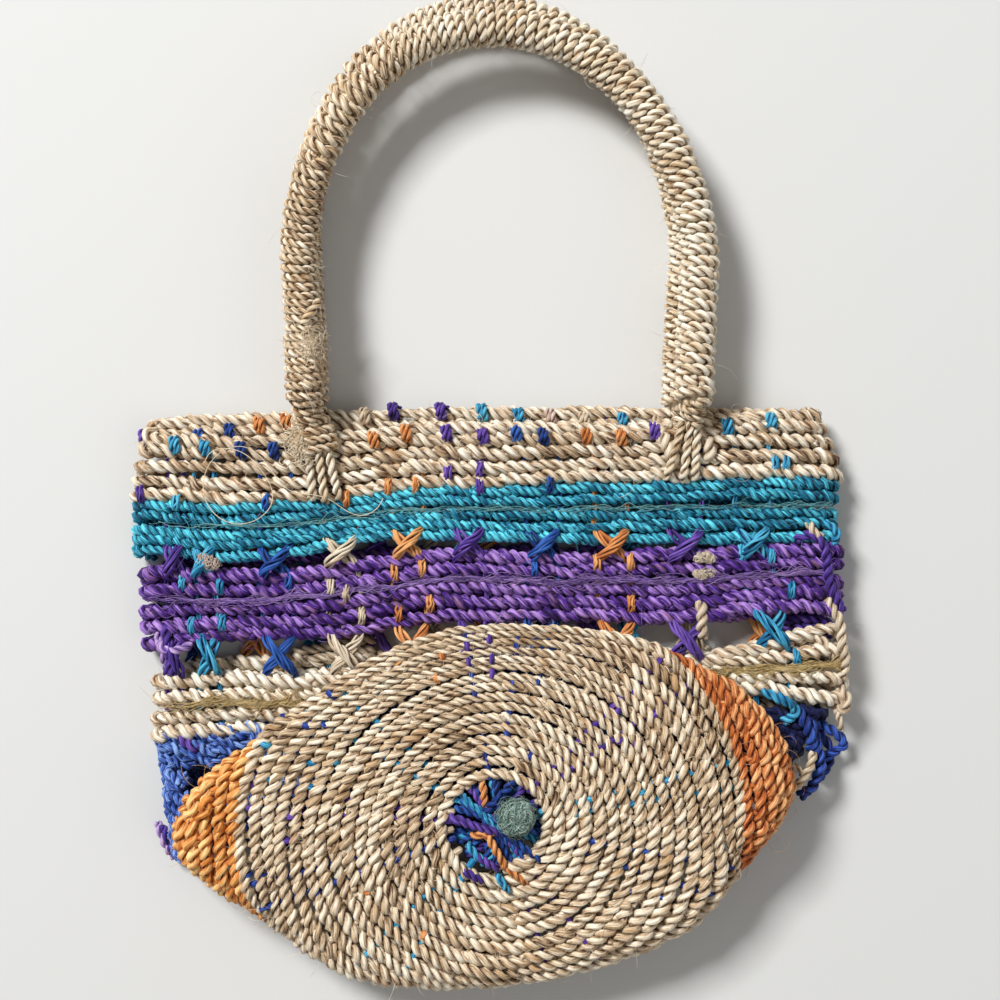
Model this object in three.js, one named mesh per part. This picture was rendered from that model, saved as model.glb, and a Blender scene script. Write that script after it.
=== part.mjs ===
// Raffia tote bag, lying flat on its back wall with its oval base folded up over the front wall.
// Millimetres, +Z up. The mouth and the two handles point along +Y, and the front wall faces up.
// The origin is on the ground under the middle of the bag's outline.
import * as THREE from "three";

// Driving dimensions: twined wall
const wall = 4.4; // thickness of one layer of twined cord
const gap = 0.3; // clearance between pieces that touch
const lyingHeight = 18.2; // outer face of the front wall above the ground
const frontRimY = 25;
const backRimLead = 6.3; // how far the back rim shows past the front rim
const rimDepth = 4.6; // width of the rolled rim
const backLift = 3.8; // the back wall rises over the feet of its handle

// Bands of weft from the rim down: depth along the wall and the two side edges
const topTan = { depth: 19.6, left: -148.4, right: 146.5, colour: 0xc8a880 };
const turquoise = { depth: 22, left: -148.7, right: 145.4, colour: 0x148ca5 };
const purple = { depth: 30.3, left: -145, right: 146.8, colour: 0x5a3ca0 };
const lowerTan = { depth: 28, left: -140.5, right: 148.7, colour: 0xc6aa7e };
const blue = { left: -140, right: 147.5, colour: 0x2846aa };
const blueLowLeft = -133; // side edges where the blue band meets the base
const blueLowRight = 130;
const blueSideDepth = 50;
const upperGap = 3.7; // open warps between turquoise and purple
const lowerGap = 12; // open warps between purple and the lower tan band

// The rows are not straight: how far their ends lie below the middle, at the rim and at the blue band
const leftDipRim = 5;
const leftDipLow = 8;
const rightDipRim = 1.2;
const rightDipLow = -4;

// Crossed warp pairs in the open gaps
const crossingPitch = 25.4;
const crossingCount = 10;
const crossingSpread = 4; // half the distance between the two warps of a pair
const crossingThickness = 2.4;
const warpWidth = 2.4;
const railWidth = 0.7;

// Blue band tucked in a fold under the base
const tuckHalfWidth = 112;
const tuckFoldDepth = 16;
const tuckEdgeInset = 10; // from the outline of the base

// Oval base: outline, spiral centre, heights and rolled edge
const ovalX = -2.7;
const ovalY = -129.2;
const ovalHalfLength = 126;
const ovalHalfWidth = 75;
const ovalTilt = THREE.MathUtils.degToRad(5.5);
// Flat shoulders at the left end: middle and half span in degrees, share of the radius taken off
const shoulders = [
  { middle: 135, halfSpan: 50, share: 0.15 },
  { middle: 214, halfSpan: 36, share: 0.1 },
];
const spiralX = 3;
const spiralY = -133.5;
const baseThickness = 5;
const baseCentreZ = 40.5;
const baseEdgeZ = 35.5; // mean height of the flat part's edge
const baseEdgeRise = 2.5; // the upper edge lies this much higher and the lower edge this much lower
const curlRadiusUpper = 8;
const curlRadiusLower = 15;
const curlTurnUpper = THREE.MathUtils.degToRad(30);
const curlTurnLower = THREE.MathUtils.degToRad(155);
const centreHoleRadius = 17.5;
const centreStrandWidth = 4.4;
const centreStrandThickness = 4;
const tuftRadius = 8.3;
const tuftHeight = 7.5;
const tuftX = 7.6; // from the spiral centre
const tuftY = 2.6;
const ovalSteps = 60;

// Crescents of orange rows at the two ends: first, widest and last oval step, and widest width
const rightOrange = { first: -6, widest: -1, last: 8, width: 31, colour: 0xd7783c };
const leftOrange = { first: 25, widest: 30, last: 34, width: 34, colour: 0xeb963c };

// Handles: bundled core in a close cord wrapping
const handleRadius = 8;
const coreRadius = 4.6;
const boreRadius = 4.9;
const bindingLength = 8; // whipped foot of each leg
const legWrapShare = 0.2; // share of the arch's length that each leg wrapping covers
const fanRise = 1.8; // how far the fans start above the rim
const fanThickness = 3.1;
const fanTopWidth = 9;
const fanLowWidth = 15;
const frontHandle = { leftFoot: -74.6, rightFoot: 82.8, springY: 89, topY: 186, spread: 81, lean: -3 };
const backHandle = { leftFoot: -74.6, rightFoot: 79.4, springY: 96, topY: 196.3, spread: 80, lean: -3 };
const frontHandleTopZ = 25; // axis of the front handle where it lies over the back handle

const straw = 0xcdb288;

// Places that follow from the sizes
const yTopTan = frontRimY - rimDepth;
const yTurquoise = yTopTan - topTan.depth;
const yUpperGap = yTurquoise - turquoise.depth;
const yPurple = yUpperGap - upperGap;
const yLowerGap = yPurple - purple.depth;
const yLowerTan = yLowerGap - lowerGap;
const yBlue = yLowerTan - lowerTan.depth;
const backRimY = frontRimY + backRimLead;
const lerp = THREE.MathUtils.lerp;

const part = new THREE.Group();

function addMesh(name, geometry, colour, roughness = 0.85) {
  const material = new THREE.MeshStandardMaterial({ color: colour, roughness, metalness: 0 });
  const mesh = new THREE.Mesh(geometry, material);
  mesh.name = name;
  part.add(mesh);
  return mesh;
}

// Geometry from a list of points and a list of triangles, faces turned outwards
function solid(points, triangles) {
  let volume = 0;
  for (const [a, b, c] of triangles) {
    volume += points[a].dot(new THREE.Vector3().crossVectors(points[b], points[c]));
  }
  const geometry = new THREE.BufferGeometry().setFromPoints(points);
  geometry.setIndex(triangles.flatMap(([a, b, c]) => (volume < 0 ? [a, c, b] : [a, b, c])));
  geometry.computeVertexNormals();
  return geometry;
}

// Closed solid through rings of points, each ring a convex outline with the same count
function loft(rings) {
  const count = rings[0].length;
  const triangles = [];
  for (let ring = 0; ring + 1 < rings.length; ring++) {
    for (let i = 0; i < count; i++) {
      const a = ring * count + i;
      const b = ring * count + ((i + 1) % count);
      triangles.push([a, b, b + count], [a, b + count, a + count]);
    }
  }
  const last = (rings.length - 1) * count;
  for (let i = 1; i + 1 < count; i++) {
    triangles.push([0, i + 1, i], [last, last + i, last + i + 1]);
  }
  return solid(rings.flat(), triangles);
}

// Closed shell between two grids of points; a grid wraps round where its columns close on themselves
function shell(outer, inner, wraps) {
  const columns = outer.length;
  const rows = outer[0].length;
  const points = [...outer.flat(), ...inner.flat()];
  const index = (side, column, row) => side * columns * rows + (column % columns) * rows + row;
  const triangles = [];
  const quad = (a, b, c, d) => triangles.push([a, b, c], [a, c, d]);
  const spans = wraps ? columns : columns - 1;
  for (let column = 0; column < spans; column++) {
    for (let row = 0; row + 1 < rows; row++) {
      quad(index(0, column, row), index(0, column + 1, row),
        index(0, column + 1, row + 1), index(0, column, row + 1));
      quad(index(1, column, row), index(1, column, row + 1),
        index(1, column + 1, row + 1), index(1, column + 1, row));
    }
    quad(index(0, column, 0), index(1, column, 0), index(1, column + 1, 0), index(0, column + 1, 0));
    quad(index(0, column, rows - 1), index(0, column + 1, rows - 1),
      index(1, column + 1, rows - 1), index(1, column, rows - 1));
  }
  if (!wraps) {
    for (let row = 0; row + 1 < rows; row++) {
      quad(index(0, 0, row), index(0, 0, row + 1), index(1, 0, row + 1), index(1, 0, row));
      quad(index(0, columns - 1, row), index(1, columns - 1, row),
        index(1, columns - 1, row + 1), index(0, columns - 1, row + 1));
    }
  }
  return solid(points, triangles);
}

// Body of the bag: a flattened tube of bands
const range = (from, to, steps) =>
  Array.from({ length: steps + 1 }, (_, i) => lerp(from, to, i / steps));

function dip(x, y) {
  const depth = THREE.MathUtils.clamp((frontRimY - y) / (frontRimY - yBlue), 0, 1);
  if (x < 0) {
    return -lerp(leftDipRim, leftDipLow, depth) * (x / topTan.left) ** 2;
  }
  return -lerp(rightDipRim, rightDipLow, depth) * (x / topTan.right) ** 2;
}

function backFace(y) {
  const rise = (y - yUpperGap) / (yTurquoise - yUpperGap);
  return backLift * THREE.MathUtils.clamp(rise, 0, 1);
}

function sideEdges(band, y) {
  if (band !== blue) {
    return [band.left, band.right];
  }
  const down = (yBlue - y) / blueSideDepth;
  return [lerp(blue.left, blueLowLeft, down), lerp(blue.right, blueLowRight, down)];
}

// A point of the flattened tube. turn runs once round it: 0 to 1 along the back wall to the right,
// 1 to 2 up the right fold, 2 to 3 along the front wall to the left, 3 to 4 down the left fold.
function tubePoint(band, turn, y, depth) {
  const bottom = backFace(y);
  const radius = (lyingHeight - bottom) / 2;
  const [left, right] = sideEdges(band, y);
  const leftCentre = left + radius;
  const rightCentre = right - radius;
  const part4 = turn % 4;
  const side = Math.floor(part4);
  const along = part4 - side;
  const reach = radius - depth;
  let x;
  let z;
  if (side === 0) {
    x = lerp(leftCentre + gap, rightCentre - gap, along);
    z = bottom + depth;
  } else if (side === 2) {
    x = lerp(rightCentre - gap, leftCentre + gap, along);
    z = lyingHeight - depth;
  } else {
    const angle = (side === 1 ? -0.5 + along : 0.5 + along) * Math.PI;
    x = (side === 1 ? rightCentre : leftCentre) + reach * Math.cos(angle);
    z = bottom + radius + reach * Math.sin(angle);
  }
  return new THREE.Vector3(x, y + dip(x, y), z);
}

// A stretch of the tube's wall from one turn to another; its section is a list of [y, depth]
function wallPiece(band, from, to, steps, section) {
  const end = to - 1e-6;
  return loft(range(from, end, steps).map((turn) =>
    section.map(([y, depth]) => tubePoint(band, turn, y, depth))));
}

const bandSection = (top, bottom) => [
  [top - gap / 2, 0],
  [bottom + gap / 2, 0],
  [bottom + gap / 2, wall],
  [top - gap / 2, wall],
];

const bandRows = [
  ["top_tan", topTan, yTopTan, yTurquoise],
  ["turquoise", turquoise, yTurquoise, yUpperGap],
  ["purple", purple, yPurple, yLowerGap],
  ["lower_tan", lowerTan, yLowerTan, yBlue],
];
for (const [name, band, top, bottom] of bandRows) {
  const section = bandSection(top, bottom);
  const backTop = band === topTan ? top + backRimLead : top;
  addMesh(`back_${name}_band`, wallPiece(band, 0, 1, 8, bandSection(backTop, bottom)), band.colour);
  addMesh(`right_fold_${name}`, wallPiece(band, 1, 2, 8, section), band.colour);
  addMesh(`front_${name}_band`, wallPiece(band, 2, 3, 8, section), band.colour);
  addMesh(`left_fold_${name}`, wallPiece(band, 3, 4, 8, section), band.colour);
}
const blueSide = bandSection(yBlue, yBlue - blueSideDepth);
addMesh("right_fold_blue", wallPiece(blue, 1, 2, 8, blueSide), blue.colour);
addMesh("left_fold_blue", wallPiece(blue, 3, 4, 8, blueSide), blue.colour);

// Rolled rims: a round section that follows the mouth
function rimSection(topY) {
  const radius = rimDepth / 2 - gap / 2;
  return range(0, 7, 7).map((i) => [
    topY - rimDepth / 2 + radius * Math.cos((i * Math.PI) / 4),
    wall / 2 + (wall / 2) * Math.sin((i * Math.PI) / 4),
  ]);
}
addMesh("front_rim", wallPiece(topTan, 2, 3, 8, rimSection(frontRimY)), straw);
addMesh("back_rim", wallPiece(topTan, 0, 1, 8, rimSection(backRimY)), straw);
addMesh("right_rim", wallPiece(topTan, 1, 2, 8, rimSection(frontRimY)), straw);
addMesh("left_rim", wallPiece(topTan, 3, 4, 8, rimSection(frontRimY)), straw);

// Crossed warps in the open gaps: a flat net of crosses between two thin rails
function crossingNet(top, bottom, z) {
  const high = top - gap / 2;
  const low = bottom + gap / 2;
  const middle = (high + low) / 2;
  const halfSpan = (crossingPitch * crossingCount) / 2;
  const dipped = (x, y) => new THREE.Vector2(x, y + dip(x, middle));
  const stations = range(-halfSpan, halfSpan, crossingCount);
  const shape = new THREE.Shape([
    ...stations.map((x) => dipped(x, low)),
    ...[...stations].reverse().map((x) => dipped(x, high)),
  ]);
  const half = warpWidth / 2;
  for (let i = 0; i + 1 < crossingCount; i++) {
    const from = stations[i] + crossingPitch / 2;
    const to = from + crossingPitch;
    shape.holes.push(new THREE.Path([
      dipped(from + crossingSpread + half, low + railWidth),
      dipped(from + warpWidth, middle),
      dipped(from + crossingSpread + half, high - railWidth),
      dipped(to - crossingSpread - half, high - railWidth),
      dipped(to - warpWidth, middle),
      dipped(to - crossingSpread - half, low + railWidth),
    ]));
  }
  const geometry = new THREE.ExtrudeGeometry(shape, { depth: crossingThickness, bevelEnabled: false });
  geometry.translate(0, 0, z - crossingThickness / 2);
  return geometry;
}
const frontMiddleZ = lyingHeight - wall / 2;
const backMiddleZ = wall / 2;
addMesh("front_upper_crossings", crossingNet(yUpperGap, yPurple, frontMiddleZ), 0x1e8c96);
addMesh("back_upper_crossings", crossingNet(yUpperGap, yPurple, backMiddleZ), 0x1e8c96);
addMesh("front_lower_crossings", crossingNet(yLowerGap, yLowerTan, frontMiddleZ), 0xc8702c);
addMesh("back_lower_crossings", crossingNet(yLowerGap, yLowerTan, backMiddleZ), 0xc8702c);

// Outline of the oval base, flattened at its shoulders and drawn in by an inset
function ovalPoint(angle, inset) {
  const turn = (THREE.MathUtils.radToDeg(angle) + 360) % 360;
  let size = 1;
  for (const { middle, halfSpan, share } of shoulders) {
    const away = Math.min(Math.abs(turn - middle) / halfSpan, 1);
    size -= (share * (1 + Math.cos(away * Math.PI))) / 2;
  }
  const x = (ovalHalfLength * size - inset) * Math.cos(angle);
  const y = (ovalHalfWidth * size - inset) * Math.sin(angle);
  return new THREE.Vector2(
    ovalX + x * Math.cos(ovalTilt) - y * Math.sin(ovalTilt),
    ovalY + x * Math.sin(ovalTilt) + y * Math.cos(ovalTilt),
  );
}

// Blue band of the back wall: a flat plate whose lower edge follows the base
const backEdgeInset = baseThickness / 2 + curlRadiusLower + gap;
function backBlueShape() {
  const radius = lyingHeight / 2;
  const top = yBlue - gap / 2;
  const low = yBlue - blueSideDepth + gap / 2;
  const [topLeft, topRight] = sideEdges(blue, top);
  const [lowLeft, lowRight] = sideEdges(blue, low);
  const shape = new THREE.Shape();
  range(topLeft + radius + gap, topRight - radius - gap, 8).forEach((x, i) =>
    (i ? shape.lineTo(x, top + dip(x, top)) : shape.moveTo(x, top + dip(x, top))));
  const rightX = lowRight - radius - gap;
  shape.lineTo(rightX, low + dip(rightX, low));
  for (const angle of range(-0.12 * Math.PI, -0.9 * Math.PI, 16)) {
    const point = ovalPoint(angle, backEdgeInset);
    shape.lineTo(point.x, point.y);
  }
  const leftX = lowLeft + radius + gap;
  shape.lineTo(leftX, low + dip(leftX, low));
  return shape;
}
addMesh("back_blue_band",
  new THREE.ExtrudeGeometry(backBlueShape(), { depth: wall, bevelEnabled: false }), blue.colour);

// Blue band of the front wall: it runs on under the base, turns back in a fold and climbs to the base's edge
const foldY = yBlue - tuckFoldDepth;
const foldZ = lyingHeight + gap;
function foldShape() {
  const shape = new THREE.Shape();
  const bottom = lyingHeight - wall;
  const foldRadius = foldZ - bottom;
  shape.moveTo(yBlue - gap / 2 + dip(-tuckHalfWidth, yBlue), bottom);
  shape.lineTo(foldY, bottom);
  shape.absarc(foldY, foldZ, foldRadius, -Math.PI / 2, -1.5 * Math.PI, true);
  shape.lineTo(foldY, foldZ + gap / 2);
  shape.absarc(foldY, foldZ, gap / 2, Math.PI / 2, 1.5 * Math.PI, false);
  shape.lineTo(foldY, lyingHeight);
  shape.lineTo(yBlue - gap / 2 + dip(-tuckHalfWidth, yBlue), lyingHeight);
  return shape;
}
const foldGeometry = new THREE.ExtrudeGeometry(foldShape(), {
  depth: 2 * tuckHalfWidth,
  bevelEnabled: false,
  curveSegments: 8,
});
foldGeometry.rotateX(Math.PI / 2);
foldGeometry.rotateZ(Math.PI / 2);
foldGeometry.translate(-tuckHalfWidth, 0, 0);
addMesh("front_blue_fold", foldGeometry, blue.colour);

const tuckStartY = foldY + gap;
const tuckStartZ = foldZ + gap / 2;
const tuckEdge = range(0.08 * Math.PI, 0.92 * Math.PI, 16)
  .map((angle) => ovalPoint(angle, tuckEdgeInset))
  .filter((point) => point.y > tuckStartY + gap && Math.abs(point.x) < tuckHalfWidth);
const tuckRun = Math.max(...tuckEdge.map((point) => point.y)) - tuckStartY;
const baseUnderside = baseEdgeZ + baseEdgeRise - baseThickness / 2;
const tuckSlope = Math.atan((baseUnderside - gap - wall - tuckStartZ) / tuckRun);
const tuckShape = new THREE.Shape([
  new THREE.Vector2(tuckEdge[0].x, 0),
  ...tuckEdge.map((point) => new THREE.Vector2(point.x, (point.y - tuckStartY) / Math.cos(tuckSlope))),
  new THREE.Vector2(tuckEdge[tuckEdge.length - 1].x, 0),
]);
const tuck = addMesh("front_blue_tuck",
  new THREE.ExtrudeGeometry(tuckShape, { depth: wall, bevelEnabled: false }), blue.colour);
tuck.rotation.x = tuckSlope;
tuck.position.set(0, tuckStartY + wall * Math.sin(tuckSlope), tuckStartZ);

// Oval base: a shallow dome whose edge rolls down, most at the lower edge
function baseRay(angle) {
  const edge = ovalPoint(angle, baseThickness / 2);
  const centre = new THREE.Vector2(spiralX, spiralY);
  const ray = edge.clone().sub(centre);
  const low = (1 - Math.sin(angle)) / 2;
  const curlRadius = lerp(curlRadiusUpper, curlRadiusLower, low);
  const curlTurn = lerp(curlTurnUpper, curlTurnLower, low);
  const flat = ray.length() - curlRadius * Math.sin(Math.min(curlTurn, Math.PI / 2));
  return {
    direction: ray.normalize(),
    flat,
    curlRadius,
    edgeZ: baseEdgeZ + baseEdgeRise * Math.sin(angle),
    length: flat + curlRadius * curlTurn,
  };
}

function basePoint(ray, distance, offset) {
  const beyond = Math.max(distance - ray.flat, 0);
  const turn = beyond / ray.curlRadius;
  const inside = Math.min(distance / ray.flat, 1);
  const drop = inside * inside * (3 - 2 * inside);
  const out = Math.min(distance, ray.flat) + (ray.curlRadius + offset) * Math.sin(turn);
  const middle = lerp(baseCentreZ, ray.edgeZ, drop) - ray.curlRadius;
  const z = middle + (ray.curlRadius + offset) * Math.cos(turn);
  return new THREE.Vector3(spiralX + ray.direction.x * out, spiralY + ray.direction.y * out, z);
}

const stepAngle = (2 * Math.PI) / ovalSteps;
function crescentWidth(crescent, step) {
  const fromWidest = ((step - crescent.widest + ovalSteps * 1.5) % ovalSteps) - ovalSteps / 2;
  const span = fromWidest < 0 ? crescent.widest - crescent.first : crescent.last - crescent.widest;
  const away = fromWidest / (span + 1);
  return Math.abs(away) < 1 ? crescent.width * (1 - away * away) : 0;
}

function baseShell(steps, fromDistance, toDistance, wraps) {
  const grid = (offset) => steps.map((step) => {
    const ray = baseRay(step * stepAngle);
    const from = fromDistance(ray, step);
    const to = toDistance(ray, step);
    const flatEnd = Math.min(ray.flat, to - gap);
    const stations = from < flatEnd
      ? [...range(from, flatEnd, 4).slice(0, -1), ...range(flatEnd, to, 6)]
      : range(from, to, 10);
    return stations.map((distance) => basePoint(ray, distance, offset));
  });
  return shell(grid(baseThickness / 2), grid(-baseThickness / 2), wraps);
}

addMesh("base_disc", baseShell(
  [...Array(ovalSteps).keys()],
  () => centreHoleRadius,
  (ray, step) => {
    const cut = Math.max(crescentWidth(rightOrange, step), crescentWidth(leftOrange, step));
    return cut > 0 ? ray.length - cut - gap : ray.length;
  },
  true,
), 0xc3a57d);

function addCrescent(name, crescent) {
  const steps = range(crescent.first, crescent.last, crescent.last - crescent.first);
  addMesh(name, baseShell(
    steps,
    (ray, step) => ray.length - crescentWidth(crescent, step),
    (ray) => ray.length,
    false,
  ), crescent.colour);
}
addCrescent("base_orange_rows_right", rightOrange);
addCrescent("base_orange_rows_left", leftOrange);

// Crossing strands in the centre hole, and the tuft that closes them
function strandCross() {
  const arms = 8;
  const half = centreStrandWidth / 2;
  const tip = Math.sqrt((centreHoleRadius - 1.5 * gap) ** 2 - half ** 2);
  const corner = half / Math.sin(Math.PI / arms);
  const points = range(0, arms - 1, arms - 1).flatMap((arm) => {
    const angle = (2 * Math.PI * arm) / arms;
    const between = angle + Math.PI / arms;
    const turned = (x, y) => new THREE.Vector2(
      x * Math.cos(angle) - y * Math.sin(angle), x * Math.sin(angle) + y * Math.cos(angle));
    return [turned(tip, -half), turned(tip, half),
      new THREE.Vector2(corner * Math.cos(between), corner * Math.sin(between))];
  });
  return new THREE.ExtrudeGeometry(new THREE.Shape(points),
    { depth: centreStrandThickness, bevelEnabled: false });
}
const cross = addMesh("base_centre_strands", strandCross(), 0x3c50aa);
cross.position.set(spiralX, spiralY, baseCentreZ - centreStrandThickness / 2);

const tuftProfile = [new THREE.Vector2(0, 0), new THREE.Vector2(tuftRadius * 0.8, 0)];
range(0, Math.PI / 2, 6).forEach((angle) => tuftProfile.push(new THREE.Vector2(
  tuftRadius * Math.cos(angle), tuftHeight * (0.3 + 0.7 * Math.sin(angle)))));
tuftProfile[tuftProfile.length - 1].x = 0;
const tuftGeometry = new THREE.LatheGeometry(tuftProfile, 16);
tuftGeometry.rotateX(Math.PI / 2);
const tuft = addMesh("base_tuft", tuftGeometry, 0x6e877d, 0.95);
tuft.position.set(spiralX + tuftX, spiralY + tuftY, baseCentreZ + centreStrandThickness / 2 + gap);

// Handles: an arch of two straight legs and half an oval, with its core, wrappings and whipped feet
class Stretch extends THREE.Curve {
  constructor(curve, from, to) {
    super();
    this.curve = curve;
    this.from = from;
    this.to = to;
  }
  getPoint(t, target = new THREE.Vector3()) {
    return target.copy(this.curve.getPointAt(lerp(this.from, this.to, t)));
  }
}

function archCurve(handle, footY, footZ, topZ) {
  const middle = (handle.leftFoot + handle.rightFoot) / 2;
  const rise = handle.topY - handle.springY;
  const height = (y) => lerp(footZ, topZ, (y - footY) / (handle.topY - footY));
  const at = (x, y) => new THREE.Vector3(x, y, height(y));
  const leg = (foot, side) => [0, 0.34, 0.67].map((share) => at(
    lerp(foot, middle + side * handle.spread, share * share), lerp(footY, handle.springY, share)));
  const bow = range(Math.PI, 0, 12).map((angle) => at(
    middle + handle.spread * Math.cos(angle) + handle.lean * Math.sin(angle),
    handle.springY + rise * Math.sin(angle)));
  return new THREE.CatmullRomCurve3(
    [...leg(handle.leftFoot, -1), ...bow, ...leg(handle.rightFoot, 1).reverse()]);
}

function tubeSolid(curve, outerRadius, innerRadius, steps, sides) {
  const section = new THREE.Shape().absarc(0, 0, outerRadius, 0, 2 * Math.PI);
  if (innerRadius > 0) {
    section.holes.push(new THREE.Path().absarc(0, 0, innerRadius, 0, 2 * Math.PI));
  }
  return new THREE.ExtrudeGeometry(section, { steps, extrudePath: curve, curveSegments: sides / 2 });
}

function addHandle(name, handle, footY, footZ, topZ, footRadius) {
  const curve = archCurve(handle, footY, footZ, topZ);
  const length = curve.getLength();
  const bindingEnd = bindingLength / length;
  const inset = gap / 2 / length;
  const stretch = (from, to) => new Stretch(curve, from + inset, to - inset);
  const leg = (from, to) => tubeSolid(stretch(from, to), handleRadius, boreRadius, 7, 12);
  addMesh(`${name}_core`, tubeSolid(stretch(bindingEnd, 1 - bindingEnd), coreRadius, 0, 44, 8), straw);
  addMesh(`${name}_left_wrap`, leg(bindingEnd, legWrapShare), straw);
  addMesh(`${name}_right_wrap`, leg(1 - legWrapShare, 1 - bindingEnd), straw);
  addMesh(`${name}_bow_wrap`,
    tubeSolid(stretch(legWrapShare, 1 - legWrapShare), handleRadius, boreRadius, 26, 12), straw);
  for (const [side, end, inward] of [["left", 0, 1], ["right", 1, -1]]) {
    const foot = curve.getPointAt(end);
    const direction = curve.getTangentAt(end).multiplyScalar(inward);
    const binding = addMesh(`${name}_${side}_binding`, bindingSolid(footRadius), straw);
    binding.position.copy(foot);
    binding.quaternion.setFromUnitVectors(new THREE.Vector3(0, 1, 0), direction);
  }
}

// The whipped foot: a round end of the handle's own thickness, or a narrower neck
function bindingSolid(footRadius) {
  const end = bindingLength - gap / 2;
  const profile = [];
  if (footRadius < handleRadius) {
    profile.push(new THREE.Vector2(0, 0), new THREE.Vector2(footRadius, 0));
    profile.push(new THREE.Vector2(handleRadius, end - 1));
  } else {
    range(-Math.PI / 2, 0, 6).forEach((angle) => profile.push(
      new THREE.Vector2(footRadius * Math.cos(angle), footRadius * Math.sin(angle))));
    profile[0].x = 0;
  }
  profile.push(new THREE.Vector2(handleRadius, end), new THREE.Vector2(0, end));
  return new THREE.LatheGeometry(profile, 16);
}

const frontHingeY = frontRimY + handleRadius;
const frontHingeZ = lyingHeight + handleRadius + gap;
const backFootY = backRimY + gap;
const backFootZ = handleRadius + gap;
addHandle("front_handle", frontHandle, frontHingeY, frontHingeZ, frontHandleTopZ, handleRadius);
addHandle("back_handle", backHandle, backFootY, backFootZ, backFootZ, handleRadius * 0.7);

// Fans of cord that carry the handles' pull into the top band: as long as the rim and the band are deep
const fanLength = fanRise + rimDepth + topTan.depth;
function addFan(name, topX, lowX, topY, lowZ) {
  const shape = new THREE.Shape([
    new THREE.Vector2(topX - fanTopWidth / 2, topY),
    new THREE.Vector2(topX + fanTopWidth / 2, topY),
    new THREE.Vector2(lowX + fanLowWidth / 2, topY - fanLength),
    new THREE.Vector2(lowX - fanLowWidth / 2, topY - fanLength),
  ]);
  const fan = addMesh(name,
    new THREE.ExtrudeGeometry(shape, { depth: fanThickness, bevelEnabled: false }), straw);
  fan.position.z = lowZ;
}
const fanZ = lyingHeight + gap;
const fanReach = Math.sqrt(handleRadius ** 2 - (frontHingeZ - fanZ - fanThickness) ** 2);
const frontFanY = frontHingeY - fanReach - gap;
const fanLean = 6;
addFan("front_left_fan", frontHandle.leftFoot, frontHandle.leftFoot + fanLean, frontFanY, fanZ);
addFan("front_right_fan", frontHandle.rightFoot, frontHandle.rightFoot - fanLean / 2, frontFanY, fanZ);
const backFanZ = backLift - fanThickness - gap;
addFan("back_left_fan", backHandle.leftFoot, backHandle.leftFoot + fanLean, backRimY, backFanZ);
addFan("back_right_fan", backHandle.rightFoot, backHandle.rightFoot - fanLean / 2, backRimY, backFanZ);

export default part;
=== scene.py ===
import math
from collections import defaultdict

import bmesh
import bpy
import numpy as np
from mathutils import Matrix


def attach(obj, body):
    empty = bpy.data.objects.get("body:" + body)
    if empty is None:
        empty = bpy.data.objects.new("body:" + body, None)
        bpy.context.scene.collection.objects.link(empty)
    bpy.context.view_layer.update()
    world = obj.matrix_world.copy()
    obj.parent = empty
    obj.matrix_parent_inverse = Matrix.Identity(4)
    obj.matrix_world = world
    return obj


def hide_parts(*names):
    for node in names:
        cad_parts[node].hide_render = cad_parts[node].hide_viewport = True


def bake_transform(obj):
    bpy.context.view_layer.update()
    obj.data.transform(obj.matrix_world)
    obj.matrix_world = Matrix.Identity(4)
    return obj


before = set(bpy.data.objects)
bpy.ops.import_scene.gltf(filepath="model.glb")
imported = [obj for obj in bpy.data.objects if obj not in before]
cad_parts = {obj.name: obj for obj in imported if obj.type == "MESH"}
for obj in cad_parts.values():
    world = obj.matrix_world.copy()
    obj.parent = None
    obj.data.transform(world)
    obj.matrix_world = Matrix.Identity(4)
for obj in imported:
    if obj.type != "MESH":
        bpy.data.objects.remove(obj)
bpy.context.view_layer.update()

# The photographer's view: a camera straight above the bag, 700 mm up, whose frame of
# 1000 pixels covers 420 mm of the ground. A place read from the picture is turned into
# millimetres at the height where it lies.
CAMERA_HEIGHT = 700.0
CAMERA_X, CAMERA_Y = 4.3, -5.7
GROUND_WIDTH = 420.0
SENSOR = 36.0
camera = bpy.data.objects.new("camera", bpy.data.cameras.new("camera"))
bpy.context.scene.collection.objects.link(camera)
bpy.context.scene.camera = camera
camera.location = (CAMERA_X / 1000, CAMERA_Y / 1000, CAMERA_HEIGHT / 1000)
camera.data.sensor_width = SENSOR
camera.data.lens = SENSOR * CAMERA_HEIGHT / GROUND_WIDTH
camera.data.clip_start = 0.01
camera.data.clip_end = 20


def seen(px, py, height):
    """Millimetres on the bag for a place in the picture, at a height above the ground."""
    scale = GROUND_WIDTH / 1000 * (1 - height / CAMERA_HEIGHT)
    px, py = np.asarray(px, float), np.asarray(py, float)
    return CAMERA_X + (px - 500) * scale, CAMERA_Y - (py - 500) * scale


# Studio: one wide soft lamp from the upper left, a weak fill, a pale world and a pale floor
# that keeps the bag's shadow. From below the floor is clear, so that the back can be seen.
bpy.context.scene.view_settings.view_transform = "Standard"


def add_lamp(name, place, size, watts):
    lamp = bpy.data.lights.new(name, "AREA")
    lamp.size = size
    lamp.energy = watts
    holder = bpy.data.objects.new(name, lamp)
    bpy.context.scene.collection.objects.link(holder)
    holder.location = place
    holder.rotation_euler = (-holder.location).to_track_quat("-Z", "Y").to_euler()


add_lamp("window", (-1.55, 1.7, 2.375), 0.85, 131.0)
add_lamp("fill", (1.8, -1.0, 2.0), 2.4, 12)
world = bpy.data.worlds.new("studio")
bpy.context.scene.world = world
world.use_nodes = True
world.node_tree.nodes["Background"].inputs["Color"].default_value = (1.0, 0.99, 0.97, 1)
world.node_tree.nodes["Background"].inputs["Strength"].default_value = 0.26


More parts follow.
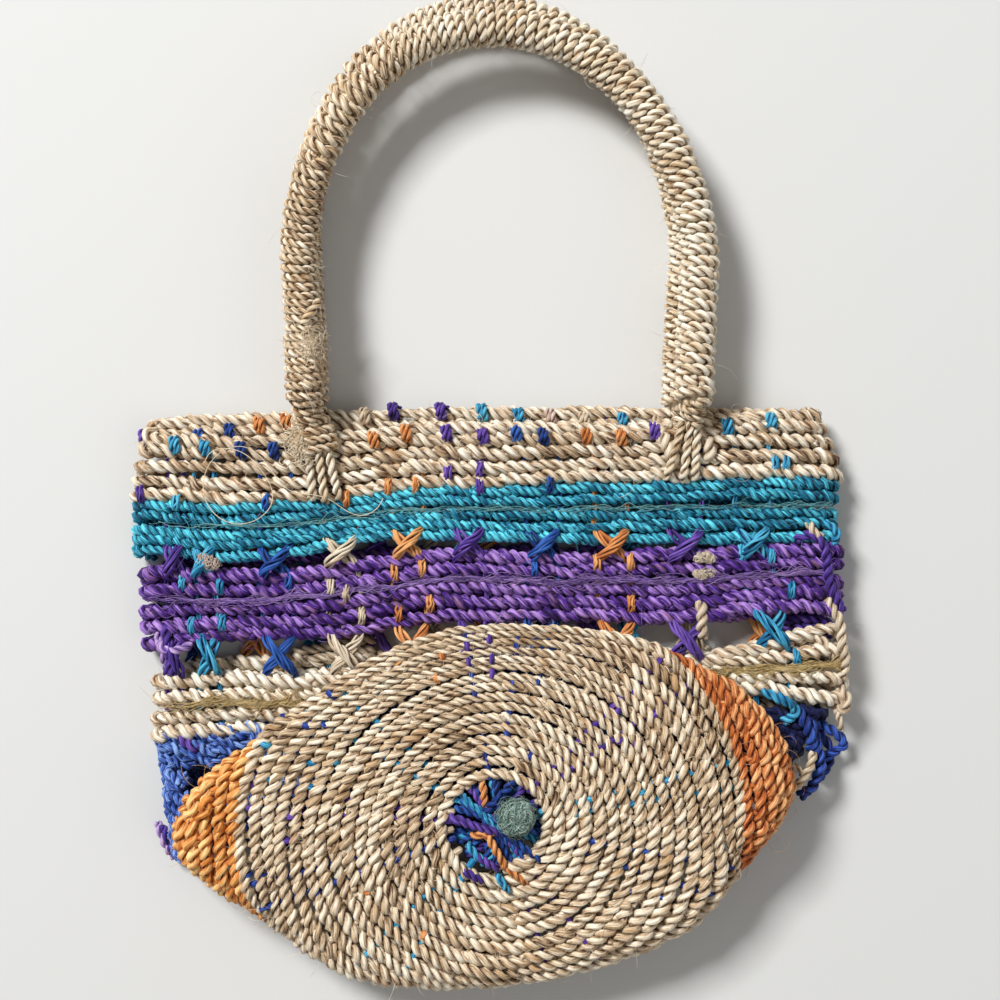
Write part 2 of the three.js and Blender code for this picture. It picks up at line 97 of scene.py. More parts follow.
class Shade:
    """A socket of a shader. Sums and products add Math nodes; make() adds any other node."""

    def __init__(self, tree, socket=None):
        self.tree = tree
        self.socket = socket

    def make(self, kind, settings, inputs, output=0):
        node = self.tree.nodes.new(kind)
        for key, value in settings.items():
            if key == "stops":
                stops = node.color_ramp.elements
                while len(stops) < len(value):
                    stops.new(1.0)
                for stop, (place, colour) in zip(stops, value):
                    stop.position = place
                    stop.color = (*colour, 1)
            else:
                setattr(node, key, value)
        for key, value in inputs.items():
            if isinstance(value, Shade):
                self.tree.links.new(value.socket, node.inputs[key])
            else:
                node.inputs[key].default_value = value
        return Shade(self.tree, node.outputs[output])

    def math(self, operation, *values):
        return self.make("ShaderNodeMath", {"operation": operation}, dict(enumerate(values)))

    def __add__(self, other):
        return self.math("ADD", self, other)

    def __sub__(self, other):
        return self.math("SUBTRACT", self, other)

    def __mul__(self, other):
        return self.math("MULTIPLY", self, other)


def linear(red, green, blue):
    """Scene colour of a colour written as on screen, 0 to 255."""
    return tuple(
        (c / 255 / 12.92) if c <= 10.3 else ((c / 255 + 0.055) / 1.055) ** 2.4
        for c in (red, green, blue)
    )


floor_finish = bpy.data.materials.new("pale_floor")
floor_finish.use_nodes = True
tree = floor_finish.node_tree
surface = tree.nodes["Principled BSDF"]
surface.inputs["Base Color"].default_value = (*linear(214, 214, 212), 1)
surface.inputs["Roughness"].default_value = 1.0
surface.inputs["Specular IOR Level"].default_value = 0.1
shade = Shade(tree)
below = shade.make("ShaderNodeNewGeometry", {}, {}, "Backfacing")
clear = shade.make("ShaderNodeBsdfTransparent", {}, {})
floor_look = shade.make("ShaderNodeMixShader", {}, {0: below, 1: Shade(tree, surface.outputs[0]), 2: clear})
tree.links.new(floor_look.socket, tree.nodes["Material Output"].inputs["Surface"])
floor_mesh = bmesh.new()
bmesh.ops.create_grid(floor_mesh, x_segments=1, y_segments=1, size=6)
floor = bpy.data.objects.new("floor", bpy.data.meshes.new("floor"))
floor_mesh.to_mesh(floor.data)
floor_mesh.free()
floor.data.materials.append(floor_finish)
bpy.context.scene.collection.objects.link(floor)

# Dyed warps. Bundles of fibre with hardly any twist run from the base up to the mouth inside
# the twined wall. They lie in pairs of one colour, which cross over in the two open gaps.
rng = np.random.default_rng(11)
BAG_LEFT, BAG_RIGHT = -148.4, 146.5
LYING_HEIGHT = 18.2
ROW_DEPTH = 3.6  # middle of the twined rows below the wall's outer face
FRONT_RIM_Y, BACK_RIM_Y, RIM_DEPTH = 25.0, 31.3, 4.6
BACK_LIFT = 3.8
TURQUOISE_Y, UPPER_GAP_Y = 0.8, -21.2
PURPLE_Y, LOWER_GAP_Y, LOWER_TAN_Y, BLUE_Y = -24.9, -55.2, -67.2, -95.2

# Lines between the bands on the front wall, as seen in the picture
FRONT_LINES = {
    "rim": [(132, 440), (176, 443), (206, 444), (258, 446), (325, 442), (374, 436), (410, 431),
            (545, 430), (620, 432), (657, 428), (730, 421), (772, 418), (815, 418), (845, 426)],
    "turquoise": [(132, 496), (205, 501), (299, 501), (338, 499), (435, 484), (500, 487),
                  (579, 482), (666, 482), (729, 477), (841, 479)],
    "upper_gap": [(132, 550), (193, 559), (265, 559), (314, 550), (387, 537), (480, 539),
                  (579, 542), (741, 542), (838, 542)],
    "purple": [(144, 562), (256, 571), (300, 567), (350, 558), (435, 547), (480, 547),
               (575, 552), (640, 548), (718, 548), (790, 543), (840, 543)],
    "lower_gap": [(151, 647), (241, 637), (338, 637), (435, 620), (480, 621), (579, 619),
                  (654, 625), (710, 620), (745, 613), (790, 611), (843, 613)],
    "lower_tan": [(156, 671), (227, 668), (287, 673), (334, 671), (500, 662), (640, 662),
                  (711, 656), (778, 639), (828, 619), (848, 620)],
    "blue": [(156, 737), (215, 733), (500, 725), (761, 690), (798, 702), (848, 710)],
}
BACK_LINES = {"rim": BACK_RIM_Y - RIM_DEPTH / 2, "turquoise": TURQUOISE_Y, "upper_gap": UPPER_GAP_Y,
              "purple": PURPLE_Y, "lower_gap": LOWER_GAP_Y, "lower_tan": LOWER_TAN_Y, "blue": BLUE_Y}
FOLD_LINES = {**BACK_LINES, "rim": FRONT_RIM_Y - RIM_DEPTH / 2}
LINE_HEIGHT = 15.0


def blurred(values, kernel):
    """Each column of padded values, smoothed with a kernel."""
    return np.stack([np.convolve(column, kernel / kernel.sum(), mode="valid") for column in values.T], axis=1)


def rounded(values, reach, width):
    """Columns of values along a line with their corners rounded, over a reach of samples."""
    padded = np.pad(values, ((reach, reach), (0, 0)), mode="edge")
    return blurred(padded, np.exp(-(np.arange(-reach, reach + 1.0) / width) ** 2))


def smooth_line(points):
    """A line of the picture as heights in millimetres over x, with its corners rounded."""
    x, y = seen(*np.array(points, float).T, LINE_HEIGHT)
    grid = np.arange(-170.0, 171.0)
    return grid, rounded(np.interp(grid, x, y)[:, None], 15, 6)[:, 0]


front_lines = {name: smooth_line(points) for name, points in FRONT_LINES.items()}


def front_y(line, x):
    return np.interp(x, *front_lines[line])


def dip(x, y):
    """How far the ends of a row of the back wall lie below its middle."""
    depth = np.clip((FRONT_RIM_Y - y) / (FRONT_RIM_Y - BLUE_Y), 0, 1)
    left = -(5 + 3 * depth) * (x / BAG_LEFT) ** 2
    right = -(1.2 - 5.2 * depth) * (x / BAG_RIGHT) ** 2
    return np.where(x < 0, left, right)


def back_face(y):
    return BACK_LIFT * np.clip((y - UPPER_GAP_Y) / (TURQUOISE_Y - UPPER_GAP_Y), 0, 1)


def unit(vectors):
    return vectors / np.maximum(np.linalg.norm(vectors, axis=-1, keepdims=True), 1e-9)


def points_at(x, y, z):
    """Points from their coordinates, of which some may be one number for all."""
    return np.stack(np.broadcast_arrays(x, y, z), axis=1)


def read_along(place, run, values):
    """Values along a path, read at other places along it."""
    return np.stack([np.interp(place, run, column) for column in values.T], axis=1)


def evened(values):
    """Values smoothed over nine samples."""
    return np.convolve(np.pad(values, 4, mode="edge"), np.full(9, 1 / 9), mode="valid")


def length_along(path):
    return np.concatenate([[0], np.cumsum(np.linalg.norm(np.diff(path, axis=0), axis=1))])


def upward(path):
    return np.broadcast_to([0.0, 0.0, 1.0], path.shape)


def resample(points, step, *others):
    """Points of a path at an even step, with other values that follow it."""
    run = length_along(points)
    even = np.linspace(0, run[-1], max(int(run[-1] / step), 3) + 1)
    return [np.interp(even, run, values) if values.ndim == 1 else read_along(even, run, values)
            for values in (points, *others)]


def wander(count, length, size):
    """A slow random drift along a path: count samples, one bend in about so many samples."""
    knots = rng.normal(0, size, max(int(count / length), 2) + 3)
    place = np.linspace(0, len(knots) - 1.001, count)
    share = place % 1
    share = share * share * (3 - 2 * share)
    low = place.astype(int)
    return knots[low] * (1 - share) + knots[low + 1] * share


def two_ply(path, normal, radius, twist, tones=None):
    """Two plies laid round each other along a path. radius is the cord's own, twist the length
    of one full turn; each ply is returned as its points, radius, tone and the cord's path."""
    tangent = unit(np.gradient(path, axis=0))
    run = length_along(path)
    radius = np.broadcast_to(radius, len(path))
    side = unit(np.cross(normal, tangent))
    out = np.cross(tangent, side)
    angle = 2 * np.pi * run / twist + rng.uniform(0, 2 * np.pi) + wander(len(path), 40, 0.35)
    tone = rng.uniform(0.2, 0.8) if tones is None else tones
    plies = []
    for half in (0, np.pi):
        turn = (angle + half)[:, None]
        centre = path + 0.49 * radius[:, None] * (np.cos(turn) * side + np.sin(turn) * out)
        ply = radius * 0.55 * (1 + wander(len(path), 8, 0.08))
        plies.append((centre, ply, tone + rng.uniform(-0.25, 0.25), path))
    return plies


def fibre_lengths(count, shortest, longest, rest):
    """Slices that cut the samples of a cord into lengths of fibre, with no short rest."""
    start = 0
    while start < count - 1:
        stop = start + int(rng.uniform(shortest, longest))
        stop = count if stop > count - rest else stop
        yield slice(start, stop + 1)
        start = stop


def twined(path, normal, phase, swing, lift, radius, twist):
    """A row of twining: two cords pass before and behind the warps in turn. phase grows by
    half a turn at each warp; swing is their way across the row and lift their way through it.
    A cord is made of lengths of fibre of slightly different tones."""
    tangent = unit(np.gradient(path, axis=0))
    side = unit(np.cross(normal, tangent))
    strands = []
    for half in (0, np.pi):
        swung = np.cos(phase + half)
        lifted = np.sin(phase + half)
        lifted = lifted / np.sqrt(lifted ** 2 + 0.15) * 1.07
        cord = path + (swing * swung)[:, None] * side + (lift * lifted)[:, None] * normal
        radius = np.broadcast_to(radius, len(path))
        for part in fibre_lengths(len(path), 60, 160, 40):
            strands += two_ply(cord[part], normal[part], radius[part], twist)
    return strands


profiles = {}


def cord_profile(sides):
    """Round section of so many sides that the cords' curves are bevelled with."""
    if sides not in profiles:
        ring = bpy.data.curves.new(f"section_{sides}", "CURVE")
        ring.dimensions = "2D"
        spline = ring.splines.new("POLY")
        spline.points.add(sides - 1)
        for i, point in enumerate(spline.points):
            angle = -2 * math.pi * i / sides
            point.co = (math.cos(angle), math.sin(angle), 0, 1)
        spline.use_cyclic_u = True
        profiles[sides] = bpy.data.objects.new(f"section_{sides}", ring)
        bpy.context.scene.collection.objects.link(profiles[sides])
    return profiles[sides]


def lay_cords(name, strands, sides=5):
    """One mesh piece from many strands, each a list of points, a radius, a tone and, for a ply,
    its cord's path. The tone goes into an attribute, and so does a painted shade for the groove
    between two plies, strongest near the cord's middle. The UV map has the way round and the
    millimetres along."""
    curve = bpy.data.curves.new(name, "CURVE")
    curve.dimensions = "3D"
    curve.bevel_mode = "OBJECT"
    curve.bevel_object = cord_profile(sides)
    lengths, counts, tones, cord_middles, cord_sizes = [], [], [], [], []
    for points, radius, tone, *cord in strands:
        radius = np.broadcast_to(radius, len(points))
        middle = cord[0] if cord else points - 9.0
        cord_middles.append(np.repeat(middle[[0, *range(len(middle)), -1]], sides, axis=0))
        cord_sizes.append(np.repeat(radius[[0, *range(len(radius)), -1]] * 1.9, sides))
        ends = unit(points[[0, -1]] - points[[1, -2]]) * radius[[0, -1], None] * 0.5
        points = np.vstack([points[:1] + ends[:1], points, points[-1:] + ends[1:]])
        radius = np.concatenate([[1e-4], radius, [1e-4]])
        points[:, 2] = np.maximum(points[:, 2], radius)
        spline = curve.splines.new("POLY")
        spline.points.add(len(points) - 1)
        flat = np.ones((len(points), 4), np.float32)
        flat[:, :3] = points / 1000
        spline.points.foreach_set("co", flat.ravel())
        spline.points.foreach_set("radius", (radius / 1000).astype(np.float32))
        lengths.append(np.linalg.norm(np.diff(points, axis=0), axis=1).sum())
        counts.append(len(points) * sides)
        tones.append(tone)
    holder = bpy.data.objects.new(name + "_route", curve)
    bpy.context.scene.collection.objects.link(holder)
    mesh = bpy.data.meshes.new_from_object(holder.evaluated_get(bpy.context.evaluated_depsgraph_get()))
    mesh.name = name
    bpy.data.objects.remove(holder)
    bpy.data.curves.remove(curve)
    owner = np.repeat(np.arange(len(strands)), counts)
    tone = mesh.attributes.new("tone", "FLOAT", "POINT")
    tone.data.foreach_set("value", np.array(tones, np.float32)[owner])
    corner = np.empty(len(mesh.vertices) * 3, np.float32)
    mesh.vertices.foreach_get("co", corner)
    # Painted shade for the groove between two plies: highest near the cord's middle, nothing on the outside
    # of a ply
    away = np.linalg.norm(corner.reshape(-1, 3) * 1000 - np.vstack(cord_middles), axis=1)
    groove = 1 - np.clip((away / np.concatenate(cord_sizes) - 0.25) / 0.6, 0, 1)
    depth = mesh.attributes.new("groove", "FLOAT", "POINT")
    depth.data.foreach_set("value", groove.astype(np.float32))
    corners = np.empty(len(mesh.loops), np.int32)
    mesh.loops.foreach_get("vertex_index", corners)
    layer = mesh.uv_layers[0]
    layer.name = "UVMap"
    uv = np.empty(len(mesh.loops) * 2, np.float32)
    layer.data.foreach_get("uv", uv)
    uv = uv.reshape(-1, 2)
    uv = np.stack([uv[:, 1], uv[:, 0] * np.array(lengths, np.float32)[owner[corners]]], axis=1)
    layer.data.foreach_set("uv", uv.ravel())
    weld = bmesh.new()
    weld.from_mesh(mesh)
    bmesh.ops.remove_doubles(weld, verts=weld.verts, dist=1e-6)
    weld.to_mesh(mesh)
    weld.free()
    piece = bpy.data.objects.new(name, mesh)
    bpy.context.scene.collection.objects.link(piece)
    return piece


# Joints between two bodies, meant for blends: the two bodies, and where the change starts and ends.
# No blend is made here; a piece at such a joint only has its transform baked
BLENDS = {
    "mouth": ("bag_body", "front_wall", (0, 0, 0.0072), (0, 0, 0.0138)),
    "lower_gap": ("bag_body", "front_wall", (0, -0.066, 0.015), (0, -0.05, 0.015)),
    "lower_blue": ("bag_body", "base", (0, 0, 0.018), (0, 0, 0.032)),
    "blue_tuck": ("bag_body", "base", (0, 0, 0.019), (0, 0, 0.033)),
    "left_foot": ("front_wall", "front_handle", (-0.0734, 0.029, 0.0225), (-0.0746, 0.0355, 0.026)),
    "right_foot": ("front_wall", "front_handle", (0.0824, 0.029, 0.0225), (0.0828, 0.0355, 0.026)),
}


def add_piece(name, strands, finish, slot, bodies, nodes=(), sides=5):
    """A piece of cords that rides on a body. At a joint listed in BLENDS it is not blended: its
    transform is only baked into the mesh. It stands for the nodes of the solids that it replaces."""
    piece = lay_cords(name, strands, sides)
    piece.data.materials.append(finish)
    if nodes:
        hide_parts(*nodes)
    if bodies in BLENDS:
        first, second, start, end = BLENDS[bodies]
        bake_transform(piece)
        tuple(start)
        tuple(end)
    else:
        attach(piece, bodies)


def add_groups(name, groups, bodies, nodes=(), sides=5):
    """One piece of dyed warp for each colour. The name has a place for the colour."""
    for colour, strands in groups.items():
        add_piece(name.format(colour), strands, warp_finishes[colour], "dyed_warp", bodies, nodes, sides)


def fibre_finish(name, dark, middle, light, patch=0.35, accent=None):
    """Twisted plant fibre: long streaks along each ply, a tone of its own for each ply, slow
    changes of the dye over the bag, and here and there a streak of an accent colour. The groove
    between two plies is painted darker: a painted shade."""
    dark, middle, light = linear(*dark), linear(*middle), linear(*light)
    finish = bpy.data.materials.new(name)
    finish.use_nodes = True
    tree = finish.node_tree
    shade = Shade(tree)
    uv = shade.make("ShaderNodeUVMap", {"uv_map": "UVMap"}, {})
    around = shade.make("ShaderNodeSeparateXYZ", {}, {0: uv}, 0) * (2 * math.pi)
    along = shade.make("ShaderNodeSeparateXYZ", {}, {0: uv}, 1)
    own = shade.make("ShaderNodeAttribute", {"attribute_name": "tone"}, {}, "Fac")
    # Painted shade for the groove between the plies, read from the mesh
    groove = shade.make("ShaderNodeAttribute", {"attribute_name": "groove"}, {}, "Fac")
    across, over = shade.math("COSINE", around), shade.math("SINE", around)

    def streaks(fine, stretch):
        place = shade.make("ShaderNodeCombineXYZ", {}, {
            0: across * fine + own * 37.0, 1: over * fine, 2: along * stretch})
        return shade.make("ShaderNodeTexNoise", {}, {
            "Vector": place, "Scale": 1.0, "Detail": 3.0, "Roughness": 0.6}, "Fac")

    broad, fine = streaks(0.8, 0.13), streaks(2.1, 0.16)
    place = shade.make("ShaderNodeTexCoord", {}, {}, "Object")
    dye = shade.make("ShaderNodeTexNoise", {}, {
        "Vector": place, "Scale": 55.0, "Detail": 2.0, "Roughness": 0.5}, "Fac")
    # The tone is lowered in the groove between the plies: painted shade
    tone = own * 0.4 + broad * 1.1 + fine * 1.5 + dye * patch - groove * 0.35 - (0.93 + 0.5 * patch)
    stops = [(0.08, dark), (0.44, middle), (0.78, light)]
    colour = shade.make("ShaderNodeValToRGB", {"stops": stops}, {"Fac": tone}, "Color")
    if accent is not None:
        spots = shade.make("ShaderNodeMapRange", {"interpolation_type": "SMOOTHSTEP"}, {
            "Value": streaks(0.5, 0.09), "From Min": 0.53, "From Max": 0.68, "To Max": 0.65}, "Result")
        colour = shade.make("ShaderNodeMix", {"data_type": "RGBA"}, {
            0: spots, 6: colour, 7: (*linear(*accent), 1)}, 2)
    # Painted shade: in the groove between the plies the colour is mixed towards the dark colour
    colour = shade.make("ShaderNodeMix", {"data_type": "RGBA"}, {
        0: groove * 0.9, 6: colour, 7: (*dark, 1)}, 2)
    bump = shade.make("ShaderNodeBump", {}, {
        "Strength": 0.8, "Distance": 0.00035, "Height": fine * 1.2 + broad * 0.5}, "Normal")
    surface = tree.nodes["Principled BSDF"]
    tree.links.new(colour.socket, surface.inputs["Base Color"])
    tree.links.new((fine * 0.3 + 0.47).socket, surface.inputs["Roughness"])
    tree.links.new(bump.socket, surface.inputs["Normal"])
    surface.inputs["Specular IOR Level"].default_value = 0.3
    surface.inputs["Sheen Weight"].default_value = 0.06
    return finish


WARP_COLOURS = {
    "purple": ((28, 12, 66), (70, 40, 136), (126, 90, 186)),
    "teal": ((0, 42, 74), (12, 122, 172), (94, 194, 226)),
    "blue": ((2, 12, 52), (8, 50, 128), (50, 102, 186)),
    "cream": ((124, 98, 72), (196, 174, 146), (236, 222, 198)),
    "orange": ((140, 72, 28), (204, 120, 56), (238, 176, 112)),
    "pink": ((130, 100, 90), (188, 158, 144), (224, 204, 190)),
    "navy": ((0, 3, 22), (10, 30, 106), (58, 98, 196)),
    "lilac": ((78, 56, 120), (140, 104, 176), (206, 176, 220)),
}
warp_finishes = {name: fibre_finish(f"warp_{name}", *colours) for name, colours in WARP_COLOURS.items()}

# Pairs of warps from left to right: middle in the upper and in the lower gap, half the space
# between the two warps, and colour
FRONT_PAIRS = [(-129.5, -129.5, 3.4, "purple"), (-117.5, -114.7, 4.2, "teal"), (-88.2, -85.8, 6.6, "blue"),
               (-61.1, -58.8, 6.6, "cream"), (-33.9, -32.0, 6.4, "orange"), (-8.8, -6.0, 6.4, "purple"),
               (21.5, 21.5, 6.8, "blue"), (50, 52.8, 6.8, "orange"), (80.4, 81.0, 7, "purple"),
               (108, 116.2, 6.8, "teal"), (134, 134, 3.2, "cream")]
BACK_PAIRS = [(-122, "blue"), (-98, "orange"), (-73, "teal"), (-47, "purple"), (-24, "cream"), (0, "orange"),
              (24, "blue"), (42, "purple"), (58, "teal"), (84, "cream"), (114, "orange")]
BACK_PAIR_HALF = 6.2
WARP_RADIUS = 1.0  # inside the rows
CROSSING_RADIUS = 2.2
UPPER_CROSSING, LOWER_CROSSING = 5.4, 8.0  # half the height in which a pair changes over
UPPER_BULGE, LOWER_BULGE = 6, 8  # half the height in which it is thick and stands out
BACK_WARP_ENDS = ([80, 95, 105, 118], [-146, -138, -128, -117])  # lowest y, over x


def crossed(y, upper, lower):
    """Side on which a warp of a pair lies: it changes over in each gap."""
    first = np.clip((upper - y) / UPPER_CROSSING, -1, 1)
    second = np.clip((lower - y) / LOWER_CROSSING, -1, 1)
    return 1 - first + second


BUNDLE_STRANDS = 6
BUNDLE_TURN = 30  # length of one full turn of a bundle


def fibre_bundle(path, normal, radius):
    """A flat bundle of fine strands with hardly any twist, laid along a path."""
    tangent = unit(np.gradient(path, axis=0))
    radius = np.broadcast_to(radius, len(path))
    side = unit(np.cross(normal, tangent))
    out = np.cross(tangent, side)
    run = length_along(path)
    turn = 2 * np.pi * run / BUNDLE_TURN + rng.uniform(0, 2 * np.pi)
    tone = rng.uniform(0.3, 0.8)
    strands = []
    for i in range(BUNDLE_STRANDS):
        angle = (turn + 2 * np.pi * i / BUNDLE_STRANDS + wander(len(path), 12, 0.4))[:, None]
        reach = (radius * (0.72 + wander(len(path), 14, 0.12)))[:, None]
        centre = path + reach * (np.cos(angle) * side + 0.55 * np.sin(angle) * out)
        strand = radius * 0.36 * (1 + wander(len(path), 9, 0.12))
        strands.append((centre, strand, tone + rng.uniform(-0.6, 0.6), path))
    return strands


def add_warps(wall):
    groups = defaultdict(list)
    if wall == "front":
        pairs = FRONT_PAIRS[:-1]  # the last pair stays hidden in the rows
    else:
        pairs = [(x, x, BACK_PAIR_HALF, colour) for x, colour in BACK_PAIRS]
    step = 0.9 if wall == "front" else 1.5
    for middle, low_middle, half, colour in pairs:
        for mirror in (-1, 1):
            if wall == "front":
                top, low = front_y("rim", middle), front_y("blue", middle) - 6
                upper = (front_y("upper_gap", middle) + front_y("purple", middle)) / 2
                lower = (front_y("lower_gap", middle) + front_y("lower_tan", middle)) / 2
            else:
                sag = dip(np.array(middle), -40.0)
                top = BACK_RIM_Y - 2 + sag
                low = np.interp(middle, *BACK_WARP_ENDS) + sag
                upper = (UPPER_GAP_Y + PURPLE_Y) / 2 + sag
                lower = (LOWER_GAP_Y + LOWER_TAN_Y) / 2 + sag
            y = np.linspace(top, low, 150)
            side = evened(crossed(y, upper, lower))
            x = np.interp(-y, [-upper, -lower], [middle, low_middle]) + mirror * half * side
            near = np.exp(-((y - upper) / UPPER_BULGE) ** 4) + np.exp(-((y - lower) / LOWER_BULGE) ** 4)
            if wall == "front":
                z = LYING_HEIGHT - ROW_DEPTH - 0.6 + (1.5 * mirror + 5.1) * near
            else:
                z = back_face(y) + ROW_DEPTH + 0.4 + 1.2 * mirror * near
            path, near = resample(points_at(x, y, z), step, near)
            path[:, 0] += wander(len(path), 12, 0.35)
            radius = WARP_RADIUS + (CROSSING_RADIUS - WARP_RADIUS) * near
            groups[colour] += fibre_bundle(path, upward(path), radius)
    add_groups(wall + "_warps_{}", groups, "lower_gap" if wall == "front" else "bag_body",
               [f"{wall}_upper_crossings", f"{wall}_lower_crossings"], sides=4)


add_warps("front")
add_warps("back")

# Twined bands. Each band is one long pair of two-ply cords, twined round the warps in a
# spiral that runs round the flattened bag: along the back, up the right fold, across the
# front and down the left fold.
BACK_WARPS = 22
LOOSE_ROOM = 0.35  # share of a row that a loose strand takes up


def warp_turns(left, right):
    """Places of the warps round the tube, on a scale of 4: back, right fold, front, left fold."""
    front = sorted((high + low) / 2 + side * half for high, low, half, _ in FRONT_PAIRS for side in (-1, 1))
    edge_left, edge_right = left + LYING_HEIGHT / 2, right - LYING_HEIGHT / 2
    turns = [(i + 0.5) / BACK_WARPS for i in range(BACK_WARPS)] + [1.25, 1.75]
    turns += sorted(2 + (edge_right - x) / (edge_right - edge_left) for x in front)
    return np.array(turns + [3.25, 3.75])


def band_rows(top, bottom, left, right, rows, radius, twist, swing, lift, step=1.05, at=None, loose=None,
              corners=(0, 0)):
    """Strands of a band whose rows fill the way between two lines, or lie at one share of it.
    After the row called loose, room is left for a strand of untwisted fibre. corners is how far
    the left and right ends of the upper rows are drawn in."""
    warps = warp_turns(left, right)
    index = np.concatenate([warps - 4, warps, warps + 4])
    count = len(warps)
    turn_grid = np.linspace(0, 4, 801)[:-1]
    turn = np.concatenate([turn_grid + 4 * row for row in range(rows)])
    local = turn % 4
    in_front = np.clip(np.minimum(local - 1, 4 - local), 0, 1)
    place = turn / 4 - 0.5 * in_front
    room = 0.0
    if loose is not None:
        room = LOOSE_ROOM
        place = place + room * np.clip((turn / 4 - loose) * 4, 0, 1)
    share = (place + 0.42) / (rows + room - 0.1) if at is None else np.full(len(turn), at)
    phase = np.pi * (np.interp(local, index, np.arange(3 * count) - count) + count * (turn // 4)) + np.pi / 2
    y_fold = FOLD_LINES[top] * (1 - share) + FOLD_LINES[bottom] * share
    y_back = BACK_LINES[top] * (1 - share) + BACK_LINES[bottom] * share
    low = back_face(y_fold)
    reach = (LYING_HEIGHT - low) / 2
    upper = np.clip(1 - share, 0, 1) ** 1.5
    edge_left, edge_right = left + reach + corners[0] * upper, right - reach - corners[1] * upper
    side = np.minimum(local.astype(int), 3)
    along = local - side
    bend = (along + np.where(side == 1, -0.5, 0.5)) * np.pi
    bend_x, bend_z = (reach - ROW_DEPTH) * np.cos(bend), low + reach + (reach - ROW_DEPTH) * np.sin(bend)
    x = np.choose(side, [edge_left + (edge_right - edge_left) * along, edge_right + bend_x,
                         edge_right + (edge_left - edge_right) * along, edge_left + bend_x])
    z = np.choose(side, [back_face(y_back) + ROW_DEPTH + 0.7, bend_z, LYING_HEIGHT - ROW_DEPTH, bend_z])
    front = front_y(top, x) * (1 - share) + front_y(bottom, x) * share
    back = y_back + dip(x, y_back)
    rise = np.choose(side, [0.0, along, 1.0, 1 - along])
    rise = rise * rise * (3 - 2 * rise)
    y = back * (1 - rise) + front * rise
    angle = np.choose(side, [-np.pi / 2, bend, np.pi / 2, bend])
    normal = points_at(np.cos(angle), 0, np.sin(angle))
    path, normal, phase = resample(points_at(x, y, z), step, normal, phase)
    normal = unit(normal)
    count = len(path)
    path = path + (wander(count, 34, 0.4) + wander(count, 9, 0.3))[:, None] * np.array([0, 1.0, 0]) \
        + wander(count, 18, 0.3)[:, None] * normal
    swing = swing * (1 + wander(count, 16, 0.2))
    radius = radius * (1 + wander(count, 20, 0.09))
    return twined(path, normal, phase + wander(count, 12, 0.12), swing, lift, radius, twist)


def hairs(strands, count, lowest):
    """Loose ends of fine fibre that stand off the cords, above a height."""
    fibres = []
    while len(fibres) < count:
        points = strands[rng.integers(len(strands))][0]
        root = points[rng.integers(len(points))]
        if root[2] < lowest:
            continue
        steps = int(rng.uniform(6, 12))
        heading = rng.uniform(0, 2 * np.pi) + np.cumsum(np.full(steps, rng.normal(0, 0.28)))
        climb = np.linspace(rng.uniform(0.4, 1.0), -0.5, steps)
        way = rng.uniform(0.8, 1.5) * points_at(np.cos(heading), np.sin(heading), climb)
        hair = root + np.array([0, 0, 0.9]) + np.cumsum(way, axis=0) - way[0]
        fibres.append((hair, np.full(steps, rng.uniform(0.05, 0.1)), rng.uniform(0.5, 1)))
    return fibres


def add_hairy(name, strands, finish, slot, bodies, nodes, count, lowest):
    """A piece with loose ends of fibre on it."""
    add_piece(name, strands, finish, slot, bodies, nodes)
    add_piece(name + "_hairs", hairs(strands, count, lowest), finish, slot, bodies, sides=3)


BAND_HAIRS = (80, 12.0)  # how many, and the height above which they grow


def add_band(name, strands, finish, slot, bodies="mouth"):
    nodes = [part.format(name) for part in ("back_{}_band", "right_fold_{}", "front_{}_band", "left_fold_{}")]
    add_hairy(name + "_rows", strands, finish, slot, bodies, nodes, *BAND_HAIRS)


tan_finish = fibre_finish("tan_cord", (78, 44, 18), (208, 182, 148), (255, 249, 232), accent=(186, 140, 92))
MOUTH = {"left": BAG_LEFT, "right": BAG_RIGHT, "corners": (4.0, 9.0)}
strands = band_rows("rim", "turquoise", rows=4, radius=2.7, twist=10.2, swing=0.9, lift=1.45, **MOUTH)
add_band("top_tan", strands, tan_finish, "tan_weft")

# Turquoise band: finer cord of the same twining, dyed unevenly.
turquoise_finish = fibre_finish("turquoise_cord", (0, 30, 50), (0, 116, 150), (104, 230, 250), patch=0.5,
                                accent=(0, 78, 104))
strands = band_rows("turquoise", "upper_gap", left=-148.7, right=145.4, rows=5, radius=2.1, twist=6.8,
                    swing=0.75, lift=1.3, step=0.9, loose=2)
add_band("turquoise", strands, turquoise_finish, "turquoise_weft")

# Purple band: five rows between the two open gaps, with lilac and brown tones in the dye.
purple_finish = fibre_finish("purple_cord", (22, 0, 46), (76, 26, 138), (184, 142, 218), patch=0.5,
                             accent=(150, 106, 134))
strands = band_rows("purple", "lower_gap", left=-145, right=146.8, rows=5, radius=2.65, twist=9.0,
                    swing=0.95, lift=1.4, loose=2)
add_band("purple", strands, purple_finish, "purple_weft")

# Lower tan band: four rows of natural cord, a little lighter, that run in under the base.
LOWER_TAN_LIGHTER = 0.2
strands = band_rows("lower_tan", "blue", left=-140.5, right=148.7, rows=4, radius=2.7, twist=10.2,
                    swing=1.0, lift=1.4, loose=2)
strands = [(points, radius, tone + LOWER_TAN_LIGHTER, cord) for points, radius, tone, cord in strands]
add_band("lower_tan", strands, tan_finish, "tan_weft", "bag_body")

